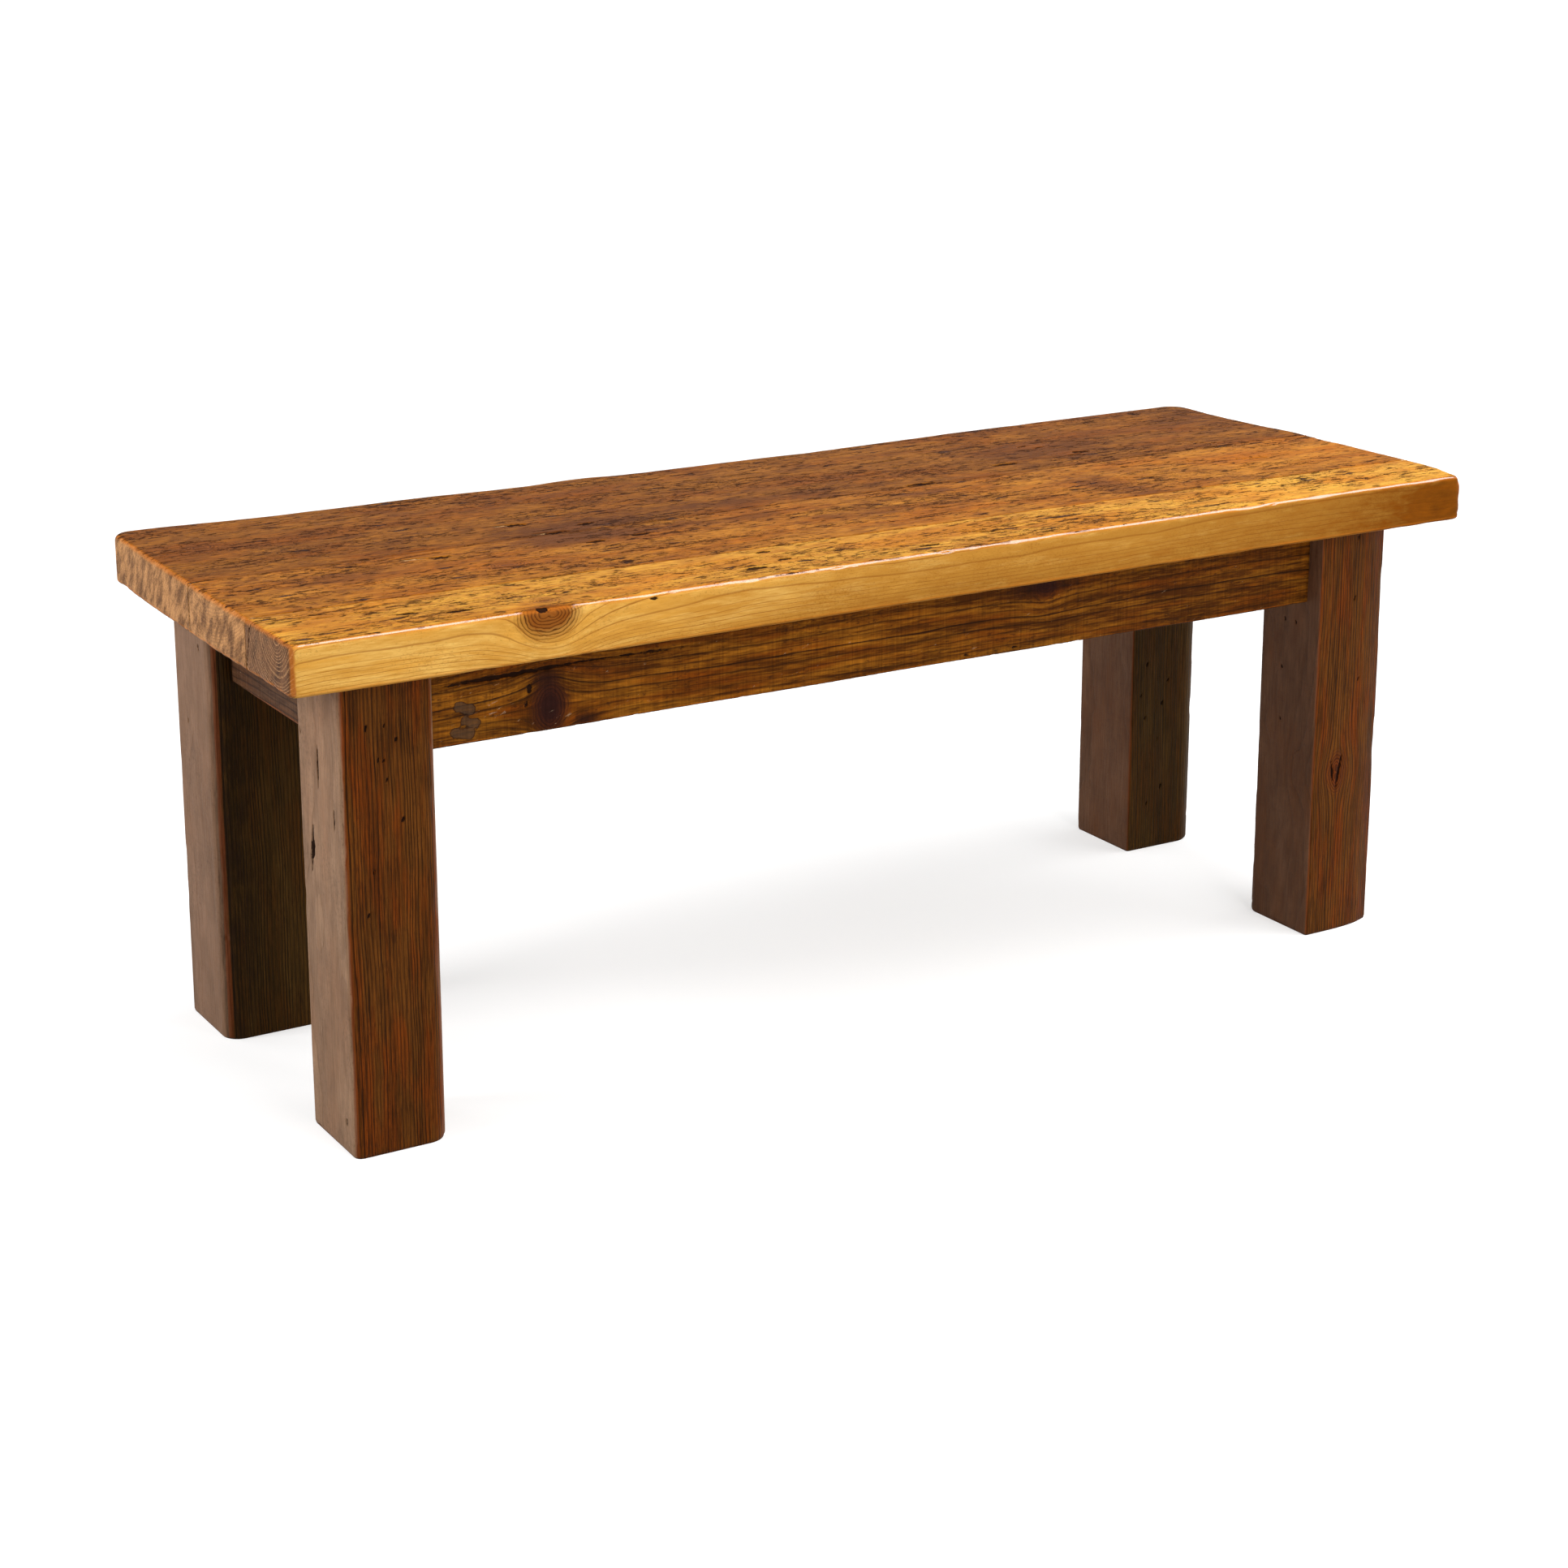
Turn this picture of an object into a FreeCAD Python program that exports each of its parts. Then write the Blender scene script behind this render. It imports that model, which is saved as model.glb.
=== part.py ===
import FreeCAD
import Part
import math
import os

from FreeCAD import Vector

# Rustic bench in old softwood. Three edge-joined boards make the seat. Four posts carry it, with four aprons
# tenoned into them. Turn buttons in a groove round the inside of the aprons hold the seat down.
# The lengths are millimetres. X runs along the seat, Y from the front to the rear and Z up. The origin is on
# the floor, under the middle of the seat.

# Seat, as one blank before its joints are cut
seat_length = 1220.0
seat_width = 442.0
seat_thickness = 44.0
seat_top_arris = 5.5
seat_bottom_arris = 3.0
front_left_corner = 8.0
front_right_corner = 14.0
rear_left_corner = 16.0
rear_right_corner = 22.0

# The waney rear edge and the two ends wander in from the blank's full size by these lengths
rear_edge_wane = 19.0
left_end_skew = 7.0
right_end_skew = 21.0

# Each pair is the share of the way along the edge, and the share of the wane or skew there
rear_edge_shares = (
    (0.0, 0.0), (0.05, 0.0), (0.1, 0.42), (0.265, 0.52), (0.32, 0.8),
    (0.385, 0.46), (0.425, 0.97), (0.64, 1.0), (0.74, 0.74), (1.0, 0.64),
)
left_end_shares = ((0.0, 0.0), (0.4, 0.0), (0.75, 0.48), (1.0, 1.0))
right_end_shares = ((0.0, 0.0), (0.15, 0.0), (0.55, 0.3), (0.68, 0.72), (0.84, 0.98), (1.0, 1.0))

# A bend in a waney edge is an arc that takes up this share of the shorter run beside it
bend_share = 0.45

# Seat joints: the front one runs at a slant, the rear one along the seat
front_board_left_width = 96.0
front_board_right_width = 83.0
rear_joint_from_front = 230.0

# Loose tongues in the seat joints, stopped short of the seat's ends
tongue_width = 32.0
tongue_thickness = 8.0
tongue_end_distance = 55.0
tongue_side_room = 1.5
tongue_slack = 0.15

# Legs
leg_height = 414.0
leg_width = 87.0
leg_depth = 92.0
left_overhang = 51.0
right_overhang = 65.0
front_overhang = 29.0
rear_overhang = 28.0

# Plan outline of each leg, worn to its own shape. A corner is its place as shares of the leg's width from the
# left and of its depth from the front, and its radius as a share of the width. A radius share of 0 stands for
# a bend as wide as its runs allow.
leg_outline_shares = {
    "front_left": ((0, 0, 0.08), (1, 0, 0.21), (1, 1, 0.05), (0, 1, 0.035)),
    "front_right": ((0, 0, 0.03), (0.45, 0, 0), (0.76, 0.03, 0), (1, 0.11, 0.05), (1, 1, 0.06), (0, 1, 0.14)),
    "rear_left": ((0, 0, 0.19), (1, 0, 0.05), (1, 1, 0.07), (0, 1, 0.05)),
    "rear_right": ((0, 0, 0.03), (0.86, 0, 0), (1, 0.09, 0.08), (1, 1, 0.07), (0, 1, 0.05)),
}

# Aprons
apron_height = 76.0
apron_thickness = 25.0
apron_setback = 20.0
apron_arris = 2.0

# Haunched tenons, mitred where two of them meet inside a leg
tenon_thickness = 10.0
tenon_bottom_shoulder = 9.0
tenon_haunch_height = 22.0
tenon_haunch_length = 15.0
tenon_mitre_gap = 1.5
mortise_slack = 0.15

# Groove for the turn buttons, in the aprons' inner faces
groove_width = 8.0
groove_depth = 8.0
groove_from_top = 10.0

# Turn buttons
button_length = 48.0
button_width = 28.0
button_tongue_length = 6.5
button_tongue_thickness = 7.0
button_shoulder_gap = 1.0
button_bevel = 6.0
button_screw_from_apron = 30.0

# Each button's place, as shares of the clear length of its apron, counted from the middle
long_button_shares = (-0.4, 0.0, 0.4)

# Button screws, with a low bevelled head under the button
screw_length = 30.0
screw_shank_radius = 2.2
screw_head_radius = 4.4
screw_head_height = 2.6
screw_head_bevel = 1.0
screw_slack = 0.25

# Overrun of the cuts, and how far from a height an edge may lie and still count as being at it
cut_overrun = 5.0
height_tolerance = 0.01

# Places that follow from the sizes above
seat_left = -seat_length / 2
seat_right = seat_length / 2
seat_front = -seat_width / 2
seat_rear = seat_width / 2
seat_bottom = leg_height
seat_middle_height = seat_bottom + seat_thickness / 2
frame_left = seat_left + left_overhang
frame_right = seat_right - right_overhang
frame_front = seat_front + front_overhang
frame_rear = seat_rear - rear_overhang
frame_middle_x = (frame_left + frame_right) / 2
apron_bottom = leg_height - apron_height
apron_middle_offset = apron_setback + apron_thickness / 2
long_apron_length = frame_right - frame_left - 2 * leg_width
end_apron_length = frame_rear - frame_front - 2 * leg_depth
tenon_bottom = apron_bottom + tenon_bottom_shoulder
tenon_top = leg_height - tenon_haunch_height
groove_top = leg_height - groove_from_top
groove_bottom = groove_top - groove_width
button_bottom = groove_top - button_tongue_thickness

# The four corners of the frame: the side of the bench that each leg stands on, in X and in Y
corner_sides = {
    "front_left": (-1, -1),
    "front_right": (1, -1),
    "rear_left": (-1, 1),
    "rear_right": (1, 1),
}

UP = Vector(0, 0, 1)


def prism(points, height):
    """Closed straight-sided outline, raised by height."""
    return Part.Face(Part.makePolygon(points + points[:1])).extrude(UP * height)


def bend(before, corner, after, radius):
    """Arc that rounds a corner between two straight runs, as its start, middle and end.

    A radius of 0 makes the arc as wide as bend_share of the shorter run allows.
    """
    back = before - corner
    on = after - corner
    half_angle = back.getAngle(on) / 2
    reach = radius / math.tan(half_angle) if radius else bend_share * min(back.Length, on.Length)
    back.normalize()
    on.normalize()
    inward = (back + on).normalize()
    rise = reach / math.cos(half_angle) - reach * math.tan(half_angle)
    return corner + back * reach, corner + inward * rise, corner + on * reach


def rounded_outline(corners):
    """Face inside straight runs and the arcs between them, from each corner's point and radius."""
    points = [point for point, _ in corners]
    following = points[1:] + points[:1]
    bends = [bend(points[i - 1], point, following[i], radius) for i, (point, radius) in enumerate(corners)]
    edges = []
    for i, (start, middle, end) in enumerate(bends):
        edges.append(Part.makeLine(bends[i - 1][2], start))
        edges.append(Part.Arc(start, middle, end).toShape())
    return Part.Face(Part.Wire(edges))


def one_solid(shape):
    """The single solid that a cut or a common leaves."""
    return max(shape.Solids, key=lambda solid: solid.Volume)


# Seat


def waney_run(start, end, shares, inset):
    """Points from start to end, each moved by its share of inset, with the radius 0 of a wide bend."""
    return [(start + (end - start) * along + inset * share, 0) for along, share in shares[1:-1]]


def seat_plan():
    """Face of the seat's plan outline, with its waney rear edge and skewed ends."""
    front_left = Vector(seat_left, seat_front, seat_bottom)
    front_right = Vector(seat_right, seat_front, seat_bottom)
    rear_left = Vector(seat_left, seat_rear, seat_bottom)
    rear_right = Vector(seat_right, seat_rear, seat_bottom)
    left_skew = Vector(left_end_skew, 0, 0)
    right_skew = Vector(-right_end_skew, 0, 0)
    wane = Vector(0, -rear_edge_wane, 0)
    left_end = waney_run(front_left, rear_left, left_end_shares, left_skew)
    rear_edge = waney_run(rear_left, rear_right, rear_edge_shares, wane)
    right_end = waney_run(front_right, rear_right, right_end_shares, right_skew)
    worn_left = rear_left + left_skew * left_end_shares[-1][1] + wane * rear_edge_shares[0][1]
    worn_right = rear_right + right_skew * right_end_shares[-1][1] + wane * rear_edge_shares[-1][1]
    return rounded_outline([
        (front_left, front_left_corner),
        (front_right, front_right_corner),
        *right_end,
        (worn_right, rear_right_corner),
        *rear_edge[::-1],
        (worn_left, rear_left_corner),
        *left_end[::-1],
    ])


def level_edges(shape, height):
    """The shape's edges that lie at a height."""
    boxes = [(edge, edge.BoundBox) for edge in shape.Edges]
    low, high = height - height_tolerance, height + height_tolerance
    return [edge for edge, box in boxes if box.ZMin > low and box.ZMax < high]


def seat_blank():
    """The whole seat in one piece, with eased arrises."""
    blank = seat_plan().extrude(UP * seat_thickness)
    blank = blank.makeFillet(seat_top_arris, level_edges(blank, seat_bottom + seat_thickness))
    return blank.makeFillet(seat_bottom_arris, level_edges(blank, seat_bottom))


def front_joint_y(x):
    """Where the slanted front joint crosses the seat at x."""
    along = (x - seat_left) / seat_length
    width = front_board_left_width + (front_board_right_width - front_board_left_width) * along
    return seat_front + width


def rear_joint_y(x):
    """Where the rear joint crosses the seat, the same at every x."""
    return seat_front + rear_joint_from_front


def board_space(front_line, rear_line):
    """Upright space between two joint lines, which cuts one board out of the blank."""
    left = seat_left - cut_overrun
    right = seat_right + cut_overrun
    corners = [
        Vector(left, front_line(left), seat_bottom - cut_overrun),
        Vector(right, front_line(right), seat_bottom - cut_overrun),
        Vector(right, rear_line(right), seat_bottom - cut_overrun),
        Vector(left, rear_line(left), seat_bottom - cut_overrun),
    ]
    return prism(corners, seat_thickness + 2 * cut_overrun)


def tongue(joint_y, side_room, slack):
    """Loose tongue along a joint, or the groove for it with some room at its sides and slack elsewhere."""
    half_thickness = tongue_thickness / 2 + slack
    half_width = tongue_width / 2 + side_room
    height = seat_middle_height - half_thickness
    left = seat_left + tongue_end_distance
    right = seat_right - tongue_end_distance
    start = Vector(left, joint_y(left), height)
    end = Vector(right, joint_y(right), height)
    along = (end - start).normalize()
    aside = UP.cross(along) * half_width
    start -= along * slack
    end += along * slack
    return prism([start - aside, end - aside, end + aside, start + aside], 2 * half_thickness)


def seat_boards():
    """The three seat boards, grooved and bored for the button screws, and the two tongues between them."""
    blank = seat_blank()
    spaces = {
        "seat_board_front": board_space(lambda x: seat_front - cut_overrun, front_joint_y),
        "seat_board_middle": board_space(front_joint_y, rear_joint_y),
        "seat_board_rear": board_space(rear_joint_y, lambda x: seat_rear + cut_overrun),
    }
    cuts = [tongue(joint_y, tongue_side_room, tongue_slack) for joint_y in (front_joint_y, rear_joint_y)]
    cuts += [screw_hole(place) for place in screw_places()]
    boards = {name: one_solid(blank.common(space).cut(cuts)) for name, space in spaces.items()}
    boards["front_joint_tongue"] = tongue(front_joint_y, 0, 0)
    boards["rear_joint_tongue"] = tongue(rear_joint_y, 0, 0)
    return boards


# Legs and aprons


def frame_corner(corner):
    """The plan point of the frame's own corner, where a leg's two outer faces would meet."""
    side_x, side_y = corner_sides[corner]
    return Vector(frame_left if side_x < 0 else frame_right, frame_front if side_y < 0 else frame_rear, 0)


def leg_plan(corner):
    """Face of a leg's plan outline on the floor."""
    side_x, side_y = corner_sides[corner]
    outer = frame_corner(corner)
    front_left = outer - Vector(leg_width if side_x > 0 else 0, leg_depth if side_y > 0 else 0, 0)
    corners = [
        (front_left + Vector(leg_width * x_share, leg_depth * y_share, 0), leg_width * radius_share)
        for x_share, y_share, radius_share in leg_outline_shares[corner]
    ]
    return rounded_outline(corners)


def tenon(shoulder, inward, outward, reach, gap, slack):
    """Haunched tenon with a mitred end.

    shoulder is the plan point of the shoulder on the apron's middle plane, inward the way into the leg, and
    outward the way to the bench's outer side. reach is how far in the other tenon's middle plane lies. gap
    shortens the mitre, and slack grows the cheeks and edges for the mortise.
    """
    half = tenon_thickness / 2 + slack
    low = tenon_bottom - slack
    high = tenon_top + slack
    start = -slack
    base = shoulder + UP * low
    plan = [
        base + inward * start - outward * half,
        base + inward * (reach - half - gap) - outward * half,
        base + inward * (reach + half - gap) + outward * half,
        base + inward * start + outward * half,
    ]
    main = prism(plan, high - low)
    root = shoulder - outward * half
    slope = [
        root + inward * start + UP * high,
        root + inward * (tenon_haunch_length + slack) + UP * high,
        root + inward * start + UP * leg_height,
    ]
    haunch = Part.Face(Part.makePolygon(slope + slope[:1])).extrude(outward * (2 * half))
    return main.fuse(haunch).removeSplitter()


def tenon_ends(corner):
    """The shoulder, directions and reach of a leg's two tenons, the long apron's and then the end apron's."""
    outer = frame_corner(corner)
    side_x, side_y = corner_sides[corner]
    out_x = Vector(side_x, 0, 0)
    out_y = Vector(0, side_y, 0)
    long_shoulder = outer - out_x * leg_width - out_y * apron_middle_offset
    end_shoulder = outer - out_x * apron_middle_offset - out_y * leg_depth
    long_end = (long_shoulder, out_x, out_y, leg_width - apron_middle_offset)
    end_end = (end_shoulder, out_y, out_x, leg_depth - apron_middle_offset)
    return long_end, end_end


def leg(corner):
    """One leg with its two mortises, which meet inside it."""
    post = leg_plan(corner).extrude(UP * leg_height)
    mortises = [tenon(*end, 0, mortise_slack) for end in tenon_ends(corner)]
    return one_solid(post.cut(mortises))


def apron(rail, groove, ends):
    """Apron from its rail, with eased lower arrises, the buttons' groove and a tenon at each end."""
    lower = [edge for edge in level_edges(rail, apron_bottom) if edge.Length > apron_thickness]
    rail = rail.makeFillet(apron_arris, lower).cut(groove)
    tenons = [tenon(*end, tenon_mitre_gap, 0) for end in ends]
    return one_solid(rail.fuse(tenons).removeSplitter())


def long_apron(side_y):
    """Front apron for side_y -1, rear apron for 1."""
    left, right = ("front_left", "front_right") if side_y < 0 else ("rear_left", "rear_right")
    outer_y = (frame_front if side_y < 0 else frame_rear) - side_y * apron_setback
    inner_y = outer_y - side_y * apron_thickness
    x = frame_left + leg_width
    low_y = min(outer_y, inner_y)
    rail = Part.makeBox(long_apron_length, apron_thickness, apron_height, Vector(x, low_y, apron_bottom))
    groove_y = min(inner_y, inner_y + side_y * groove_depth)
    groove = Part.makeBox(long_apron_length, groove_depth, groove_width, Vector(x, groove_y, groove_bottom))
    return apron(rail, groove, [tenon_ends(left)[0], tenon_ends(right)[0]])


def end_apron(side_x):
    """Left apron for side_x -1, right apron for 1."""
    front, rear = ("front_left", "rear_left") if side_x < 0 else ("front_right", "rear_right")
    outer_x = (frame_left if side_x < 0 else frame_right) - side_x * apron_setback
    inner_x = outer_x - side_x * apron_thickness
    y = frame_front + leg_depth
    low_x = min(outer_x, inner_x)
    rail = Part.makeBox(apron_thickness, end_apron_length, apron_height, Vector(low_x, y, apron_bottom))
    groove_x = min(inner_x, inner_x + side_x * groove_depth)
    groove = Part.makeBox(groove_depth, end_apron_length, groove_width, Vector(groove_x, y, groove_bottom))
    return apron(rail, groove, [tenon_ends(front)[1], tenon_ends(rear)[1]])


# Turn buttons


def button_seats():
    """Each button's name, its plan point on the apron's inner face and the way from there into the bench."""
    inner = apron_setback + apron_thickness
    middle_board_y = seat_front + (front_board_left_width + rear_joint_from_front) / 2
    seats = []
    for row, y, into in (("front", frame_front + inner, 1), ("rear", frame_rear - inner, -1)):
        for name, share in zip(("left", "middle", "right"), long_button_shares):
            point = Vector(frame_middle_x + share * long_apron_length, y, 0)
            seats.append((f"{row}_{name}_button", point, Vector(0, into, 0)))
    for row, x, into in (("left", frame_left + inner, 1), ("right", frame_right - inner, -1)):
        seats.append((f"{row}_end_button", Vector(x, middle_board_y, 0), Vector(into, 0, 0)))
    return seats


def screw_places():
    """The plan point of each button's screw."""
    return [point + into * button_screw_from_apron for _, point, into in button_seats()]


def turned(profile, axis_point):
    """Profile of (radius, height) pairs, turned about the upright line through a plan point."""
    points = [axis_point + Vector(radius, 0, height) for radius, height in profile]
    return Part.Face(Part.makePolygon(points + points[:1])).revolve(axis_point, UP)


def screw(point):
    """Wood screw, driven up through a button, with its head against the button's underside."""
    head_bottom = button_bottom - screw_head_height
    tip = button_bottom + screw_length
    profile = [
        (0, head_bottom),
        (screw_head_radius - screw_head_bevel, head_bottom),
        (screw_head_radius, head_bottom + screw_head_bevel),
        (screw_head_radius, button_bottom),
        (screw_shank_radius, button_bottom),
        (screw_shank_radius, tip),
        (0, tip),
    ]
    return turned(profile, point)


def screw_hole(point):
    """Hole that clears a screw's shank, through its button and on into the seat."""
    depth = cut_overrun + screw_length + screw_slack
    start = point + UP * (button_bottom - cut_overrun)
    return Part.makeCylinder(screw_shank_radius + screw_slack, depth, start)


def button(point, into):
    """Turn button: a bevelled block whose tongue reaches into the apron's groove."""
    side = UP.cross(into)
    base = point - side * (button_width / 2)
    outline = [
        base - into * button_tongue_length + UP * button_bottom,
        base - into * button_tongue_length + UP * groove_top,
        base + into * button_shoulder_gap + UP * groove_top,
        base + into * button_shoulder_gap + UP * seat_bottom,
        base + into * button_length + UP * seat_bottom,
        base + into * button_length + UP * (button_bottom + button_bevel),
        base + into * (button_length - button_bevel) + UP * button_bottom,
    ]
    block = Part.Face(Part.makePolygon(outline + outline[:1])).extrude(side * button_width)
    return one_solid(block.cut(screw_hole(point + into * button_screw_from_apron)))


# The whole bench


def bench():
    """Every node of the bench by name."""
    nodes = seat_boards()
    for corner in corner_sides:
        nodes[f"{corner}_leg"] = leg(corner)
    nodes["front_apron"] = long_apron(-1)
    nodes["rear_apron"] = long_apron(1)
    nodes["left_apron"] = end_apron(-1)
    nodes["right_apron"] = end_apron(1)
    for name, point, into in button_seats():
        nodes[name] = button(point, into)
    nodes["button_screws"] = Part.makeCompound([screw(place) for place in screw_places()])
    return nodes


def main():
    """Writes one STEP file for each node."""
    os.makedirs("parts", exist_ok=True)
    for name, shape in bench().items():
        shape.exportStep(f"parts/{name}.step")
        box = shape.BoundBox
        spans = [(box.XMin, box.XMax), (box.YMin, box.YMax), (box.ZMin, box.ZMax)]
        reach = ", ".join(f"{axis} {low:.1f}..{high:.1f}" for axis, (low, high) in zip("XYZ", spans))
        print(f"{name}: solids {len(shape.Solids)}, valid {shape.isValid()}, {reach}")


main()
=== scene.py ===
import logging
import math
from dataclasses import dataclass, field, replace
from enum import Enum
from functools import partial
from typing import Callable, Optional, Sequence, Union

import bpy
import numpy as np
from mathutils import Euler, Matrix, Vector


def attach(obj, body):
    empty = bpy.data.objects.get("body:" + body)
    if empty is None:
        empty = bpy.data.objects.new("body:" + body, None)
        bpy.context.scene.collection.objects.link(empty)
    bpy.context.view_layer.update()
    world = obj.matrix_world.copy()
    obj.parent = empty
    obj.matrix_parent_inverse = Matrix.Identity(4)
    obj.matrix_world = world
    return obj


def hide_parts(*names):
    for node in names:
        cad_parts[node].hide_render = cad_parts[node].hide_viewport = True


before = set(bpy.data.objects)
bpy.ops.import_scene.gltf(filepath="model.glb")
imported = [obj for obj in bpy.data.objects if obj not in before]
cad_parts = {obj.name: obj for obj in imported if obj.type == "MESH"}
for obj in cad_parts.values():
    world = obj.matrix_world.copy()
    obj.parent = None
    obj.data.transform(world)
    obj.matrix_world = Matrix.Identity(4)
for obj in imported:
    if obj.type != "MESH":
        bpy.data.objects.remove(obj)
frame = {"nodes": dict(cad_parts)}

# Looks of the rustic bench. Sizes in this file are millimetres in the bench's own frame, X along the seat,
# Y from the front to the rear and Z up. They turn into metres where a mesh, a lamp or the camera is made.

log = logging.getLogger("rustic_bench")

MM = 0.001
PER_METRE = 1000.0

Array = np.ndarray
Colour = tuple[float, float, float]
Pair = tuple[float, float]
Triple = tuple[float, float, float]


def tint(red: float, green: float, blue: float) -> Colour:
    """Linear colour of a colour card given in steps of 255.

    Args:
        red, green, blue: the card's channels, 0 to 255.

    Returns:
        The three linear channels, 0 to 1.
    """
    def linear(channel: float) -> float:
        """One linear channel."""
        share = channel / 255
        return share / 12.92 if share <= 0.04045 else ((share + 0.055) / 1.055) ** 2.4

    return linear(red), linear(green), linear(blue)


class Axis(Enum):
    """The frame's axes, as columns of a point array."""

    X = 0
    Y = 1
    Z = 2


class Side(Enum):
    """A face of a timber: its normal's axis, the way it looks and the two axes that lie in it."""

    TOP = (Axis.Z, 1, Axis.X, Axis.Y)
    FRONT = (Axis.Y, -1, Axis.X, Axis.Z)
    LEFT = (Axis.X, -1, Axis.Y, Axis.Z)

    def facing(self, normals: Array) -> Array:
        """How squarely each normal looks the side's way, 0 to 1."""
        axis, way, _, _ = self.value
        return np.clip((normals[:, axis.value] * way - 0.35) / 0.3, 0, 1)

    def plane(self, points: Array) -> tuple[Array, Array]:
        """The two coordinates of the points that lie in the side."""
        _, _, first, second = self.value
        return points[:, first.value], points[:, second.value]


# Mesh work

class Grainfield:
    """Smooth value noise on a lattice, the same for the same seed."""

    size = 4096
    primes = (73856093, 19349663, 83492791)
    seed_prime = 2654435
    layer_shift = 17.3

    def __init__(self, seed: int) -> None:
        """Fills the lattice's table of values from the seed."""
        self.values = np.random.default_rng(seed).uniform(-1, 1, self.size)
        self.seed = seed

    def at(self, points: Array, reach: Union[float, Triple], octaves: int = 1) -> Array:
        """Noise at some points.

        Args:
            points: N by 3 places.
            reach: size of one lattice cell, or its size along each axis.
            octaves: how many ever finer layers are added.

        Returns:
            One value for each point, about -1 to 1.
        """
        total = np.zeros(len(points))
        share = 1.0
        for layer in range(octaves):
            total += share * self._layer(points / np.array(reach) * 2**layer + self.layer_shift * layer)
            share /= 2
        return total

    def _layer(self, places: Array) -> Array:
        """One octave, by smooth interpolation among a cell's eight corners."""
        cell = np.floor(places).astype(np.int64)
        part = places - cell
        part = part * part * (3 - 2 * part)
        total = np.zeros(len(places))
        for corner in range(8):
            step = np.array([corner & 1, corner >> 1 & 1, corner >> 2 & 1])
            where = cell + step
            key = np.bitwise_xor.reduce(where * np.array(self.primes), axis=1) ^ self.seed * self.seed_prime
            weight = np.prod(np.where(step, part, 1 - part), axis=1)
            total += weight * self.values[key % self.size]
        return total


def smooth(values: Array, low: float, high: float) -> Array:
    """Smooth step from 0 at low to 1 at high, which may be the lower of the two."""
    part = np.clip((values - low) / (high - low), 0, 1)
    return part * part * (3 - 2 * part)


def stations(length: float, fine: float, coarse: float, low_margin: float, high_margin: float) -> Array:
    """Distances from 0 to a length, close together in the margins at its ends.

    Args:
        length: the last distance.
        fine, coarse: the steps inside and outside the margins.
        low_margin, high_margin: how far the margins reach from each end.

    Returns:
        The distances in rising order.
    """
    def run(start: float, stop: float, step: float) -> Array:
        """Even steps from start up to but not including stop."""
        return np.linspace(start, stop, max(1, round((stop - start) / step)), endpoint=False)

    middle = length - high_margin
    runs = [run(0, low_margin, fine), run(low_margin, middle, coarse), run(middle, length, fine)]
    return np.concatenate([*runs, [length]])


class Skin:
    """Closed skin of quads over a block, which is then bent into a timber's shape."""

    def __init__(self, first: Array, second: Array, third: Array) -> None:
        """Lays the quads over the lattice that the three rows of stations span."""
        counts = (len(first), len(second), len(third))
        at = np.meshgrid(*(np.arange(count) for count in counts), indexing="ij")
        outer = np.zeros(counts, bool)
        for place, count in zip(at, counts):
            outer |= (place == 0) | (place == count - 1)
        index = np.full(counts, -1)
        index[outer] = np.arange(outer.sum())
        rows = (first, second, third)
        self.block = np.stack([row[place[outer]] for row, place in zip(rows, at)], axis=1)
        self.points = self.block.copy()
        sheets = [self._sheet(index, axis, high) for axis in range(3) for high in (False, True)]
        self.quads = np.concatenate(sheets)
        self.layers: dict[str, Array] = {}

    @staticmethod
    def _sheet(index: Array, axis: int, high: bool) -> Array:
        """The quads of one side of the lattice, facing out."""
        sheet = np.take(index, -1 if high else 0, axis=axis)
        corners = [sheet[:-1, :-1], sheet[1:, :-1], sheet[1:, 1:], sheet[:-1, 1:]]
        quads = np.stack(corners, axis=-1).reshape(-1, 4)
        return quads if high != (axis == 1) else quads[:, ::-1]

    def normals(self) -> Array:
        """Unit normal at each point, from the quads round it."""
        corners = self.points[self.quads]
        across = np.cross(corners[:, 2] - corners[:, 0], corners[:, 3] - corners[:, 1])
        total = np.zeros_like(self.points)
        for column in range(4):
            for axis in range(3):
                total[:, axis] += np.bincount(self.quads[:, column], across[:, axis], len(total))
        return total / np.maximum(np.linalg.norm(total, axis=1, keepdims=True), 1e-9)

    def push(self, distance: Array) -> None:
        """Moves each point out along its normal, or in where the distance is negative."""
        self.points += self.normals() * distance[:, None]

    def piece(self, name: str) -> bpy.types.Object:
        """The skin as a Blender object in metres, with its layers as attributes.

        Args:
            name: the object's name.

        Returns:
            The new object, linked to the scene.
        """
        mesh = bpy.data.meshes.new(name)
        mesh.vertices.add(len(self.points))
        mesh.vertices.foreach_set("co", (self.points * MM).astype(np.float32).ravel())
        mesh.loops.add(self.quads.size)
        mesh.loops.foreach_set("vertex_index", self.quads.astype(np.int32).ravel())
        mesh.polygons.add(len(self.quads))
        mesh.polygons.foreach_set("loop_start", np.arange(0, self.quads.size, 4, dtype=np.int32))
        mesh.polygons.foreach_set("use_smooth", np.ones(len(self.quads), bool))
        mesh.update(calc_edges=True)
        mesh.validate()
        for layer, values in self.layers.items():
            kind, key = ("FLOAT_VECTOR", "vector") if values.ndim == 2 else ("FLOAT", "value")
            attribute = mesh.attributes.new(layer, kind, "POINT")
            attribute.data.foreach_set(key, values.astype(np.float32).ravel())
        made = bpy.data.objects.new(name, mesh)
        bpy.context.scene.collection.objects.link(made)
        return made

# Marks in the timber

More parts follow.
